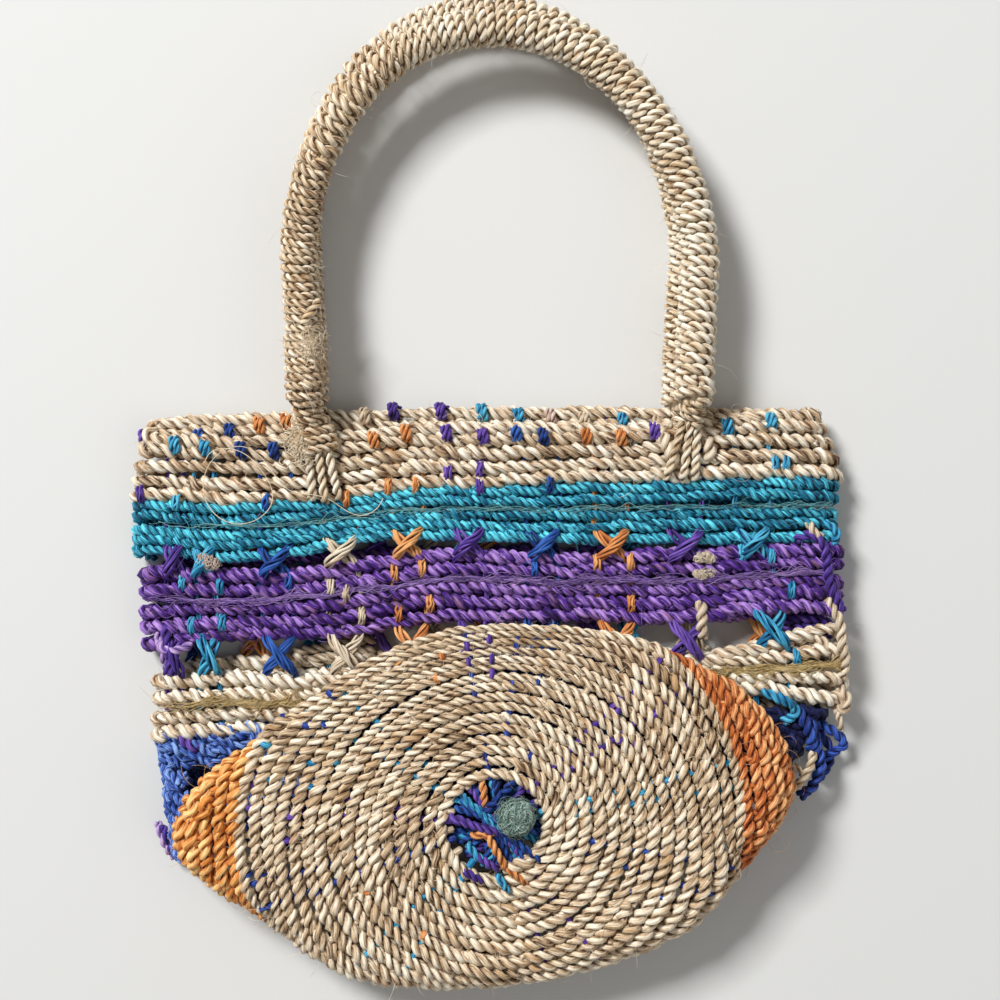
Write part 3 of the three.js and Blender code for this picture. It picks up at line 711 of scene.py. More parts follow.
# Rolled rims: the last row of thicker cord round the mouth, and the ends of the dyed warps
# turned over it and tucked in as short stitches.
strands = band_rows("rim", "turquoise", rows=1, radius=2.5, twist=9.8, swing=0.9, lift=1.3, at=-0.04, **MOUTH)
add_hairy("rim_rows", strands, tan_finish, "rim_cord", "mouth",
          ["back_rim", "right_rim", "front_rim", "left_rim"], *BAND_HAIRS)
FRONT_STITCHES = [(176, 445, "teal"), (206, 448, "teal"), (241, 450, "blue"), (275, 450, "blue"),
                  (374, 440, "orange"), (408, 433, "orange"), (447, 433, "purple"), (483, 436, "purple"),
                  (517, 433, "blue"), (545, 436, "blue"), (587, 436, "orange"), (623, 437, "orange"),
                  (657, 431, "purple"), (730, 426, "teal"), (772, 421, "teal")]
BACK_STITCHES = [(145, 438, "purple"), (200, 437, "blue"), (230, 432, "blue"), (259, 425, "orange"),
                 (287, 422, "orange"), (366, 416, "cream"), (394, 411, "purple"), (442, 411, "purple"),
                 (483, 412, "teal"), (520, 416, "teal"), (551, 417, "pink"), (586, 420, "cream"),
                 (625, 421, "teal"), (660, 424, "cream"), (786, 420, "cream"), (810, 416, "cream")]
STITCH_TALL = 2.6  # half the height of a stitch on the wall
STITCH_PITCH = 1.9


def stitch_ring(x, y, z, deep):
    """A stitch: two turns of dyed cord round the rim, drawn tight side by side."""
    turn = np.linspace(-0.6, 4 * np.pi - 0.6, 44)
    along = x + STITCH_PITCH * (turn / (2 * np.pi) - 1) + rng.uniform(-0.4, 0.4)
    path = points_at(along, y + STITCH_TALL * np.cos(turn), z + deep * np.sin(turn))
    return two_ply(path, points_at(0, np.cos(turn), np.sin(turn)), radius=1.5, twist=7.0)


for wall, stitches, height, deep, body in (("front", FRONT_STITCHES, 19.3, 3.0, "front_wall"),
                                           ("back", BACK_STITCHES, 13.4, 3.2, "bag_body")):
    groups = defaultdict(list)
    for px, py, colour in stitches:
        x, y = seen(px, py, height)
        groups[colour] += stitch_ring(x, y, height - deep, deep)
    add_groups(wall + "_stitches_{}", groups, body, [f"{wall}_rim"])

# Oval base: two-ply cord twined in a spiral round dyed warps that run out from the centre.
# It is a shallow dome, and its rows roll down at the edge, most of all at the lower edge.
OVAL_X, OVAL_Y, OVAL_LENGTH, OVAL_WIDTH = -2.7, -129.2, 126.0, 75.0
OVAL_TILT = math.radians(5.5)
# Flattened parts of the outline: middle and half span in degrees, and share that is cut away
SHOULDERS = [(135, 50, 0.15), (214, 36, 0.10), (331, 26, 0.055)]
SPIRAL_X, SPIRAL_Y = 3.0, -133.5
BASE_THICKNESS, BASE_CENTRE_Z, BASE_EDGE_Z, BASE_EDGE_RISE = 5.0, 40.5, 35.5, 2.5
CURL_RADIUS = (8.0, 15.0)  # at the upper and at the lower edge
CURL_TURN = (math.radians(30), math.radians(155))
HOLE_RADIUS = 17.5
INNER_ROW = 16.0
BASE_TURNS = 16
BASE_WARPS = 36
# Orange ends: centre and radius of their round inner line, middle angle and way round, lowest
# angle in degrees, and height of a row
RIGHT_ORANGE = {"x": 12.5, "y": -134.0, "radius": 88.8, "middle": 0.0, "way": 1, "lowest": -40, "pitch": 4.6}
LEFT_ORANGE = {"x": -16.9, "y": -137.8, "radius": 82.7, "middle": np.pi, "way": -1, "lowest": -44,
               "pitch": 5.6}
CRESCENT_ROWS = 7
CRESCENT_CLOSING = 12  # degrees in which the orange rows close


def base_reach(angle):
    """Way along the ground from the spiral's centre to the outline, across and up."""
    turn = np.degrees(angle) % 360
    size = 1.0
    for middle, half_span, share in SHOULDERS:
        away = np.minimum(np.abs(turn - middle) / half_span, 1)
        size = size - share * (1 + np.cos(away * np.pi)) / 2
    x = (OVAL_LENGTH * size - BASE_THICKNESS / 2) * np.cos(angle)
    y = (OVAL_WIDTH * size - BASE_THICKNESS / 2) * np.sin(angle)
    return (OVAL_X + x * math.cos(OVAL_TILT) - y * math.sin(OVAL_TILT) - SPIRAL_X,
            OVAL_Y + x * math.sin(OVAL_TILT) + y * math.cos(OVAL_TILT) - SPIRAL_Y)


def rolled_edge(angle):
    """Radius and turn of the rolled edge."""
    low = (1 - np.sin(angle)) / 2
    return (CURL_RADIUS[0] * (1 - low) + CURL_RADIUS[1] * low, CURL_TURN[0] * (1 - low) + CURL_TURN[1] * low)


def base_place(angle, distance, offset):
    """A point of the base, by the angle, the way from the centre and the height over the surface."""
    reach_x, reach_y = base_reach(angle)
    reach = np.hypot(reach_x, reach_y)
    curl, last_turn = rolled_edge(angle)
    flat = reach - curl * np.sin(np.minimum(last_turn, np.pi / 2))
    turn = np.maximum(distance - flat, 0) / curl
    inside = np.minimum(distance / flat, 1)
    drop = inside * inside * (3 - 2 * inside)
    edge_z = BASE_EDGE_Z + BASE_EDGE_RISE * np.sin(angle)
    out = np.minimum(distance, flat) + (curl + offset) * np.sin(turn)
    z = BASE_CENTRE_Z * (1 - drop) + edge_z * drop - curl + (curl + offset) * np.cos(turn)
    return np.stack([SPIRAL_X + reach_x / reach * out, SPIRAL_Y + reach_y / reach * out, z], axis=-1)


def base_length(angle):
    """Way from the centre to the rolled edge, along the surface."""
    curl, last_turn = rolled_edge(angle)
    return np.hypot(*base_reach(angle)) + curl * (last_turn - np.sin(np.minimum(last_turn, np.pi / 2)))


def crescent_width(crescent, angle):
    """Width of the orange rows outside their round inner line. They close under the lower edge."""
    across, up = base_reach(angle)
    reach = np.hypot(across, up)
    aside, above = crescent["x"] - SPIRAL_X, crescent["y"] - SPIRAL_Y
    along = (across * aside + up * above) / reach
    inner_line = along + np.sqrt(along ** 2 - aside ** 2 - above ** 2 + crescent["radius"] ** 2)
    turn = np.degrees((angle - crescent["middle"] + np.pi) % (2 * np.pi) - np.pi) * crescent["way"]
    opened = np.clip((turn - crescent["lowest"]) / CRESCENT_CLOSING, 0, 1) * (turn < 90)
    return np.maximum(base_length(angle) - inner_line, 0) * opened * opened * (3 - 2 * opened)


def base_row(angle, distance, pitch, phase, fill):
    """A row of the base. fill is the cord's radius as a share of the way to the next row."""
    path = base_place(angle, distance, 0.0)
    normal = unit(base_place(angle, distance, 1.0) - path)
    path, normal, phase, pitch = resample(path, 1.1, normal, phase, pitch)
    count = len(path)
    normal = unit(normal)
    radial = unit(np.cross(normal, np.gradient(path, axis=0)))
    path = path + (wander(count, 26, 0.07) * pitch)[:, None] * radial
    path = path + wander(count, 24, 0.25)[:, None] * normal
    radius = np.clip(pitch * fill, 1.6, 2.7) * (1 + wander(count, 22, 0.06))
    return twined(path, normal, phase + wander(count, 14, 0.15), swing=pitch * 0.09, lift=radius * 0.55,
                  radius=radius, twist=9.4)


base_finish = fibre_finish("base_cord", (66, 36, 12), (210, 181, 144), (254, 244, 222), accent=(190, 144, 92))
angle = np.linspace(0, 2 * np.pi * BASE_TURNS, 360 * BASE_TURNS)
turned = angle / (2 * np.pi)
rows_here = BASE_TURNS - 0.38 + np.minimum(turned % 1, 11 * (1 - turned % 1))
share = (turned + 0.5) / rows_here
start = math.radians(-85)
# The outline is split into waves that fade inward, so that the rows grow round at the centre
ring = np.radians(np.arange(360))
outline = base_length(ring) - crescent_width(RIGHT_ORANGE, ring) - crescent_width(LEFT_ORANGE, ring)
orders = np.arange(1, 90)
waves = np.fft.rfft(outline)[orders] / 180 * np.exp(1j * orders * (angle + start)[:, None])
softness = math.radians(45) * np.maximum(1 - share, 0) ** 0.6
outer = outline.mean() + (waves.real * np.exp(-0.5 * (orders * softness[:, None]) ** 2)).sum(axis=1)
distance = INNER_ROW + (outer - INNER_ROW) * share
pitch = np.append(distance[360:] - distance[:-360], (distance[360:] - distance[:-360])[-360:])
warp_count = np.select([share < 0.3, share < 0.62], [18, 26], BASE_WARPS)
phase = np.cumsum(np.full(len(angle), angle[1]) * warp_count / 2)
inner_end = int(len(angle) * 0.64)
for name, cut in (("base_rows_inner", slice(0, inner_end)), ("base_rows_outer", slice(inner_end - 1, None))):
    strands = base_row(angle[cut] + start, distance[cut], pitch[cut], phase[cut], fill=0.49)
    add_hairy(name, strands, base_finish, "base_weft", "base", ["base_disc"], count=150, lowest=20.0)

# Warps of the base, seen as small dyed dots between its rows
BASE_WARP_RADIUS, BASE_DOT_RADIUS = 1.45, 1.3
groups = defaultdict(list)
for i in range(BASE_WARPS):
    ray = 2 * math.pi * (i + 0.5) / BASE_WARPS + start
    colour = ("purple", "cream", "navy", "cream", "teal", "cream")[(i // 2) % 6]
    from_centre = HOLE_RADIUS if i % 2 else HOLE_RADIUS + 14
    length = base_length(np.array(ray)) - 1
    inner = length - crescent_width(RIGHT_ORANGE, ray) - crescent_width(LEFT_ORANGE, ray)
    for colour, begin, end in ((colour, from_centre, inner), ("orange", inner, length)):
        way = np.arange(begin, end, 2.0)
        if len(way) > 2:
            height = -0.6 + np.clip(wander(len(way), 2.5, 0.9), 0, 1.3)
            points = base_place(np.full(len(way), ray), way, height)
            groups[colour].append((points, BASE_WARP_RADIUS, rng.uniform(0.0, 0.5)))
BASE_DOTS = {
    "teal": [(575, 816), (642, 794), (669, 782), (264, 747), (288, 757), (311, 765), (333, 763), (267, 780),
             (310, 788)],
    "purple": [(636, 691), (617, 713), (656, 716), (622, 741), (638, 744), (489, 641), (467, 647), (469, 663),
               (492, 660), (492, 675), (247, 810), (289, 819), (286, 843)],
    "navy": [(539, 682), (530, 757), (630, 894), (663, 902), (305, 727), (324, 726), (280, 719), (330, 696),
             (244, 879), (260, 879), (306, 874), (314, 897)],
    "orange": [(442, 657), (436, 679), (367, 895), (423, 940)],
}
heading = np.arctan2(*base_reach(ring)[::-1])
lead = (ring - heading + np.pi) % (2 * np.pi) - np.pi
bow = np.sin(np.linspace(0, np.pi, 9))
for colour, places in BASE_DOTS.items():
    for px, py in places:
        x, y = seen(px, py, 42)
        toward = math.atan2(y - SPIRAL_Y, x - SPIRAL_X)
        ray = toward + np.interp(toward, heading, lead, period=2 * np.pi)
        way = math.hypot(x - SPIRAL_X, y - SPIRAL_Y) + np.linspace(-1.7, 1.7, 9)
        points = base_place(np.full(9, ray), way, 2.3 * bow - 0.5)
        groups[colour].append((points, BASE_DOT_RADIUS, rng.uniform(0, 0.4)))
add_groups("base_warps_{}", groups, "base", ["base_disc"])

# Crescents of orange short rows at the two ends of the base, rust on the right and yellower
# on the left.
rust_finish = fibre_finish("rust_orange_cord", (98, 30, 0), (210, 114, 50), (248, 196, 136),
                           accent=(196, 104, 30))
bright_finish = fibre_finish("bright_orange_cord", (124, 54, 0), (228, 144, 62), (255, 218, 148),
                             accent=(230, 128, 24))
for name, crescent, finish, slot in (
        ("base_orange_rows_right", RIGHT_ORANGE, rust_finish, "rust_orange_weft"),
        ("base_orange_rows_left", LEFT_ORANGE, bright_finish, "bright_orange_weft")):
    full_pitch = crescent["pitch"]
    strands = []
    for row in range(CRESCENT_ROWS):
        turn = crescent["middle"] + np.radians(np.arange(-64, 64, 0.5))
        rows_here = crescent_width(crescent, turn) / full_pitch
        turn, rows_here = turn[rows_here > row + 0.35], rows_here[rows_here > row + 0.35]
        if len(turn) < 9:
            continue
        pitch_here = full_pitch * rows_here / np.maximum(np.round(rows_here), row + 1)
        pitch_here = evened(pitch_here)
        way = base_length(turn) - crescent_width(crescent, turn) + (row + 0.5) * pitch_here
        strands += base_row(turn, way, pitch_here, (turn + row * 0.03) * BASE_WARPS / 2, fill=0.505)
    add_piece(name + "_cord", strands, finish, slot, "base", [name])
    add_piece(name + "_hairs", hairs(strands, count=45, lowest=20.0), finish, slot, "base", sides=3)

# Start of the base: dyed cords crossing in the hole that the spiral leaves, with a fuzzy
# grey-green tuft over them.
CENTRE_STRANDS = 14  # below the cords that are drawn one by one
# Both ends in the picture, colour and radius
CENTRE_CORDS = [(456, 790, 512, 842, "teal", 1.7), (494, 826, 546, 864, "blue", 1.8),
                (450, 818, 500, 834, "purple", 2.1), (482, 780, 486, 812, "orange", 1.7),
                (482, 816, 514, 782, "blue", 2.0), (500, 812, 496, 782, "blue", 1.9),
                (524, 786, 508, 814, "purple", 1.7), (472, 836, 494, 834, "orange", 1.7),
                (484, 830, 507, 870, "orange", 1.9), (500, 862, 526, 884, "orange", 1.7),
                (468, 846, 486, 866, "teal", 1.8), (476, 856, 498, 870, "purple", 1.7),
                (462, 870, 482, 882, "purple", 1.8), (498, 876, 508, 892, "teal", 1.6)]
groups = defaultdict(list)
for i in range(CENTRE_STRANDS):
    turn = math.pi * i / CENTRE_STRANDS + rng.uniform(-0.1, 0.1)
    aside = rng.uniform(-4, 4)
    along = np.linspace(-HOLE_RADIUS, HOLE_RADIUS, 26)
    path = points_at(SPIRAL_X + along * math.cos(turn) - aside * math.sin(turn),
                     SPIRAL_Y + along * math.sin(turn) + aside * math.cos(turn),
                     37.4 + 0.28 * i - 0.004 * along ** 2)
    colour = ("blue", "teal", "blue", "purple", "blue", "teal", "blue")[i % 7]
    groups[colour] += two_ply(path, upward(path), radius=1.8, twist=7.6)
for i, (px0, py0, px1, py1, colour, radius) in enumerate(CENTRE_CORDS):
    height = 41.5 + 0.9 * (i % 3)
    x, y = seen(np.linspace(px0, px1, 16), np.linspace(py0, py1, 16), height)
    bow = np.sin(np.linspace(0, np.pi, 16))
    path = points_at(x, y, height - 3.0 + 3.0 * bow ** 0.5)
    groups[colour] += two_ply(path, upward(path), radius, twist=7.0)
add_groups("base_centre_{}", groups, "base", ["base_centre_strands"])

TUFT_RADIUS = 6.2
TUFT_HEIGHT = 45.6
TUFT_FLAT = 0.55
tuft = np.array([*seen(516, 818, 46), TUFT_HEIGHT])
tuft_finish = fibre_finish("sage_fibre", (54, 76, 68), (106, 134, 124), (172, 194, 182))


def ball_of_fibre(centre, radius, count, thickness, tone=0.5):
    """Short curled fibres that wind over a flattened ball."""
    fibres = []
    for _ in range(count):
        axis = unit(rng.normal(size=3))
        along = unit(np.cross(axis, rng.normal(size=3)))
        across = np.cross(axis, along)
        turn = np.linspace(0, rng.uniform(1.5, 4.5), 14)
        level = rng.uniform(-0.75, 0.75)
        ring = math.sqrt(1 - level ** 2)
        size = radius * (1 + 0.2 * np.sin(turn * 3 + rng.uniform(0, 6))) * rng.uniform(0.7, 1.05)
        wound = np.cos(turn)[:, None] * along + np.sin(turn)[:, None] * across
        points = (ring * wound + level * axis) * size[:, None]
        points[:, 2] *= TUFT_FLAT
        own = np.full(14, thickness * rng.uniform(0.7, 1.3))
        fibres.append((centre + points, own, tone + rng.uniform(-0.5, 0.5)))
    return fibres


ball = ball_of_fibre(tuft, TUFT_RADIUS, 420, 0.32)
add_piece("base_tuft_ball", ball, tuft_finish, "sage_tuft", "base", ["base_tuft"], sides=4)
strays = ball_of_fibre(tuft, TUFT_RADIUS * 1.22, 110, 0.1)
add_piece("base_tuft_strays", strays, tuft_finish, "sage_tuft", "base", sides=3)

# Handles: a bundle of cords in a close wrapping of two-ply cord. Each turn is hitched, which
# leaves a ridge along the handle, and the turns lean to it from both sides.
FRONT_HANDLE = {"left": -74.6, "right": 82.8, "spring": 89.0, "top": 186.0, "spread": 81.0,
                "foot_y": 33.0, "foot_z": 26.5, "top_z": 25.0}
BACK_HANDLE = {"left": -74.6, "right": 79.4, "spring": 96.0, "top": 196.3, "spread": 80.0,
               "foot_y": 31.6, "foot_z": 8.3, "top_z": 8.3}
HANDLE_LEAN = -3.0
LEFT_LEG_X, LEFT_DARKER = -50, 0.3  # the left leg is darker than the bow and the right leg
HANDLE_RADIUS = 8.0
CORE_RADIUS = 4.6


def handle_line(handle):
    """Middle line of a handle from its left foot over the bow to its right foot."""
    middle = (handle["left"] + handle["right"]) / 2
    share = np.linspace(0, 1, 60)[:-1]
    rise = handle["foot_y"] + (handle["spring"] - handle["foot_y"]) * share
    bow = np.linspace(np.pi, 0, 160)
    x = np.concatenate([
        handle["left"] + (middle - handle["spread"] - handle["left"]) * share ** 2,
        middle + handle["spread"] * np.cos(bow) + HANDLE_LEAN * np.sin(bow),
        (handle["right"] + (middle + handle["spread"] - handle["right"]) * share ** 2)[::-1]])
    bow_y = handle["spring"] + (handle["top"] - handle["spring"]) * np.sin(bow)
    y = np.concatenate([rise, bow_y, rise[::-1]])
    height = (y - handle["foot_y"]) / (handle["top"] - handle["foot_y"])
    z = handle["foot_z"] + (handle["top_z"] - handle["foot_z"]) * height
    line, = resample(points_at(x, y, z), 0.5)
    before = line[0] + (line[0] - line[1]) * np.arange(24, 0, -1)[:, None]
    after = line[-1] + (line[-1] - line[-2]) * np.arange(1, 25)[:, None]
    return blurred(np.vstack([before, line, after]), np.exp(-(np.arange(-24.0, 25.0) / 11) ** 2))


def wrapping(line, ring, cord, pitch, lean, ridge):
    """Turns of two-ply cord round a line. ring, cord, pitch, lean and ridge are one value, or
    values along it: radius of the turns, of the cord, way between turns, way that a turn drops
    towards the ridge, and where the ridge lies."""
    run = length_along(line)
    share = run / run[-1]
    at = [np.interp(share, *values) if np.ndim(values) else np.full(len(share), float(values))
          for values in (ring, cord, pitch, lean, ridge)]
    wound = np.concatenate([[0], np.cumsum(np.diff(run) * 2 * np.pi / at[2][1:])])
    angle = np.linspace(0, wound[-1], int(wound[-1] / (2 * np.pi) * 44))
    along = np.interp(angle, wound, run)
    ring, cord, pitch, lean, ridge = [np.interp(along, run, values) for values in at]
    from_ridge = (angle - ridge + np.pi) % (2 * np.pi) - np.pi
    drop = np.sqrt(from_ridge ** 2 + 0.05) / np.pi - 0.5
    place = np.clip(along + lean * drop + wander(len(angle), 60, 0.3), 0, run[-1])
    centre = read_along(place, run, line)
    tangent = unit(read_along(place, run, np.gradient(line, axis=0)))
    outward = unit(np.cross([0.0, 0.0, 1.0], tangent))
    top = np.cross(tangent, outward)
    normal = np.cos(angle)[:, None] * top - np.sin(angle)[:, None] * outward
    bulge = ring + 0.5 * np.exp(-(from_ridge / 0.3) ** 2) + wander(len(angle), 50, 0.15)
    path = centre + bulge[:, None] * normal
    path, normal, cord = resample(path, 1.1, normal, cord)
    strands = []
    for part in fibre_lengths(len(path), 150, 300, 60):
        strands += two_ply(path[part], unit(normal[part]), cord[part], 3.9 * np.mean(cord[part]),
                           rng.uniform(0.4, 0.6) - LEFT_DARKER * (path[part.start, 0] < LEFT_LEG_X))
    return strands


# Wrapping of a handle and of its two ends: shares of the way along and the value at each
WRAP = {"ring": ((0, 0.05, 0.2, 0.26, 0.36, 0.42, 1), (6.8, 6.4, 6.2, 5.7, 5.7, 6.2, 6.1)),
        "cord": ((0, 0.2, 0.26, 0.36, 0.42, 0.52, 0.6, 1), (1.75, 1.85, 2.6, 2.6, 2.0, 2.2, 2.35, 2.4)),
        "pitch": ((0, 0.2, 0.26, 0.36, 0.42, 0.52, 0.6, 1), (3.3, 3.6, 5.1, 5.0, 3.7, 4.2, 4.5, 4.4)),
        "lean": ((0, 0.05, 0.2, 0.3, 0.4, 0.5, 0.8, 1), (3.0, 4.5, 8.0, 6.0, 3.0, 1.5, 3.0, 4.0)),
        "ridge": ((0, 0.25, 0.36, 0.5, 1), (0.45, 0.4, 0.5, 0.6, 0.5))}
WRAP_LEFT = {"ring": ((0, 0.25, 1), (4.8, 6.4, 6.6)), "cord": 1.8, "pitch": 3.7, "lean": 3.0, "ridge": 0.45}
WRAP_RIGHT = {"ring": ((0, 0.7, 0.85, 1), (6.1, 6.3, 5.9, 4.0)), "cord": ((0, 1), (2.5, 2.3)),
              "pitch": ((0, 1), (4.6, 4.4)), "lean": ((0, 1), (4.0, 0.0)), "ridge": 0.5}
WHIPPING_LENGTH = 8.0
handle_finish = fibre_finish("handle_cord", (104, 64, 28), (224, 201, 166), (255, 251, 236),
                             accent=(208, 172, 122))


def add_cord(name, strands, bodies, nodes=()):
    add_piece(name, strands, handle_finish, "handle_cord", bodies, nodes)


def add_handle(name, handle, body):
    line = handle_line(handle)
    run = length_along(line)
    foot = int(np.searchsorted(run, WHIPPING_LENGTH))
    wraps = [f"{name}_{part}_wrap" for part in ("left", "bow", "right")]
    add_hairy(name + "_wrapping", wrapping(line[foot:-foot], **WRAP), handle_finish, "handle_cord", body,
              wraps, count=130, lowest=0.0)
    for side, stretch, values in (("left", line[:foot + 1], WRAP_LEFT),
                                  ("right", line[-foot - 3:], WRAP_RIGHT)):
        add_cord(f"{name}_{side}_whipping", wrapping(stretch, **values), body, [f"{name}_{side}_binding"])
    core = []
    even, = resample(line, 4.0)
    tangent = unit(np.gradient(even, axis=0))
    outward = unit(np.cross([0.0, 0.0, 1.0], tangent))
    up = np.cross(tangent, outward)
    for turn in np.arange(0, 2 * np.pi, np.pi / 3):
        cord = even + (math.cos(turn) * outward + math.sin(turn) * up) * CORE_RADIUS * 0.58
        core.append((cord, np.full(len(even), CORE_RADIUS * 0.5), rng.uniform(0, 0.4)))
    add_cord(name + "_bundle", core, body, [f"{name}_core"])


add_handle("front_handle", FRONT_HANDLE, "front_handle")
add_handle("back_handle", BACK_HANDLE, "back_handle")

# Fans: the cords that come out of each handle's foot, spread over the top band and carry
# the handle. Each front cord is given by its upper and its lower end in the picture.
FRONT_FANS = {"left": [(308, 446, 313, 499), (318, 446, 325, 502), (327, 446, 339, 499)],
              "right": [(682, 422, 667, 478), (690, 422, 683, 480), (697, 422, 695, 479)]}
FRONT_FAN_HEIGHT, FRONT_FAN_DROP = 20.4, 3.5
for side, cords in FRONT_FANS.items():
    strands = []
    for i, (px0, py0, px1, py1) in enumerate(cords):
        x, y = seen(np.linspace(px0, px1, 30), np.linspace(py0, py1, 30), 20)
        share = np.linspace(0, 1, 30)
        drop = FRONT_FAN_DROP * np.clip((share - 0.85) / 0.15, 0, 1) ** 2
        z = FRONT_FAN_HEIGHT + 1.5 * (1 - share) ** 2 - drop + 0.3 * (i % 2)
        path = points_at(x, y, z)
        strands += two_ply(path, upward(path), radius=1.9, twist=8.4)
    add_cord(f"front_{side}_fan_cords", strands, "front_wall", [f"front_{side}_fan"])
for side, middle in (("left", BACK_HANDLE["left"]), ("right", BACK_HANDLE["right"])):
    strands = []
    for i in range(4):
        share = np.linspace(0, 1, 24)
        x = middle + (i - 1.5) * (2.2 + 1.6 * share) + (6 if side == "left" else -3) * share
        y = 31.0 - 25.5 * share
        path = points_at(x, y, 1.75)
        strands += two_ply(path, -upward(path), radius=1.5, twist=7.6)
    add_cord(f"back_{side}_fan_cords", strands, "bag_body", [f"back_{side}_fan"])

# Blue band: the lowest rows of the wall. On the back it runs down to the base; in front it is
# turned under, and at the sides its rows climb to the base's ends.
blue_finish = fibre_finish("blue_cord", (2, 10, 62), (34, 76, 168), (142, 178, 240), patch=0.6)
BLUE_ROWS = 11
BLUE_PITCH = 4.6
BLUE_WARP_PITCH = 12.6
CLOSED_ABOVE_Y = -111  # rows above this go all the way round
BLUE_DEPTH, BLUE_LEFT, BLUE_LEFT_TAPER = 50, -140, 7
BLUE_RIGHT = ([-150, -140, -133, -127, -118, -95], [92, 96, 102, 112, 126, 142])  # right edge, over y
# Right of BLUE_CORNER_X the blue rows get a much lower tone: painted shade for the right corner, which lies
# in the wall's shadow
BLUE_CORNER_X, BLUE_CORNER_PAINTED_SHADE = 98, 1.8
strands, climbing = [], []
for row in range(BLUE_ROWS):
    y = BLUE_Y - 2.4 - row * BLUE_PITCH
    left = BLUE_LEFT + BLUE_LEFT_TAPER * ((BLUE_Y - y) / BLUE_DEPTH)
    right = np.interp(y, *BLUE_RIGHT)
    reach = LYING_HEIGHT / 2
    closed = y > CLOSED_ABOVE_Y
    arc = np.linspace(np.pi / 2, np.pi, 10) if closed else np.linspace(0.72 * np.pi, np.pi, 8)
    arc = np.concatenate([arc, np.linspace(np.pi, 1.5 * np.pi, 12)[1:]])
    inner = reach - ROW_DEPTH
    left_side = points_at(left + reach + inner * np.cos(arc), reach + inner * np.sin(arc), arc)
    right_side = points_at(right - reach - inner * np.cos(arc[::-1]), reach + inner * np.sin(arc[::-1]),
                           3 * np.pi - arc[::-1])
    back = np.linspace(left_side[-1], right_side[0], 60)[1:-1]
    back[:, 2] = 1.5 * np.pi
    if closed:
        head = np.linspace([0, LYING_HEIGHT - ROW_DEPTH, np.pi / 2], left_side[0], 30)[:-1]
        foot = np.linspace(right_side[-1], [0, LYING_HEIGHT - ROW_DEPTH, 2.5 * np.pi], 30)[1:]
    else:
        head = np.array([[left + 14, 29, 0.75 * np.pi], [left + 9, 24, 0.8 * np.pi]])
        foot = np.array([[right - 9, 24, 2.2 * np.pi], [right - 14, 29, 2.25 * np.pi]])
    outline = np.vstack([head, left_side, back, right_side, foot])
    path = points_at(outline[:, 0], y + dip(outline[:, 0], y), outline[:, 1])
    normal = points_at(np.cos(outline[:, 2]), 0, np.sin(outline[:, 2]))
    path, normal = resample(path, 1.25, normal)
    count = len(path)
    run = np.arange(count) * 1.25
    path = path + (wander(count, 7, 0.9) + 0.9 * np.sin(run / 1.7))[:, None] * np.array([0, 1.0, 0]) \
        + wander(count, 7, 0.5)[:, None] * normal
    rows = twined(path, unit(normal), np.pi * run / BLUE_WARP_PITCH + 0.4, swing=1.9, lift=1.3, radius=2.2,
                  twist=7.2)
    for points, radius, tone, cord in rows:
        cuts = np.flatnonzero(np.diff(points[:, 0] > BLUE_CORNER_X)) + 1
        for part in np.split(np.arange(len(points)), cuts):
            if len(part) > 3:
                # Painted shade: the part of a row right of the corner line is made darker
                own = tone - BLUE_CORNER_PAINTED_SHADE * (points[part[0], 0] > BLUE_CORNER_X)
                (strands if closed else climbing).append((points[part], radius[part], own, cord[part]))
add_piece("blue_upper_rows", strands, blue_finish, "blue_weft", "bag_body",
          ["back_blue_band", "front_blue_fold", "right_fold_blue", "left_fold_blue"])
add_piece("blue_lower_rows", climbing, blue_finish, "blue_weft", "lower_blue",
          ["back_blue_band", "right_fold_blue", "left_fold_blue"])

# Tuck of the blue band: from the fold under the base up to the base's upper edge.
strands = []
tuck_low, tuck_high = np.array([-110.0, 20.5]), np.array([-64.0, 33.5])
TUCK_ROWS, TUCK_WARP_PITCH, TUCK_INSET, TUCK_HALF = 10, 12.8, 12.0, 112.0
for row in range(TUCK_ROWS):
    share = (row + 0.5) / TUCK_ROWS
    y, z = tuck_low * (1 - share) + tuck_high * share
    x = np.arange(-TUCK_HALF, TUCK_HALF, 1.4)
    along_oval = (x - OVAL_X) * math.cos(OVAL_TILT) + (y - OVAL_Y) * math.sin(OVAL_TILT)
    across_oval = -(x - OVAL_X) * math.sin(OVAL_TILT) + (y - OVAL_Y) * math.cos(OVAL_TILT)
    turn = np.arctan2(across_oval / OVAL_WIDTH, along_oval / OVAL_LENGTH)
    reach_x, reach_y = base_reach(turn)
    limit = np.hypot(reach_x + SPIRAL_X - OVAL_X, reach_y + SPIRAL_Y - OVAL_Y) - TUCK_INSET
    x = x[np.hypot(along_oval, across_oval) < limit]
    if len(x) < 12:
        continue
    path = points_at(x, y, z - 2.5 * (x / TUCK_HALF) ** 2)
    normal = np.broadcast_to([0.0, -0.27, 0.96], path.shape)
    path = path + wander(len(x), 14, 0.4)[:, None] * np.array([0, 1.0, 0])
    strands += twined(path, normal, np.pi * x / TUCK_WARP_PITCH, swing=1.6, lift=1.2, radius=1.7, twist=7.6)
add_piece("blue_tuck_rows", strands, blue_finish, "blue_weft", "blue_tuck",
          ["front_blue_tuck", "front_blue_fold"])

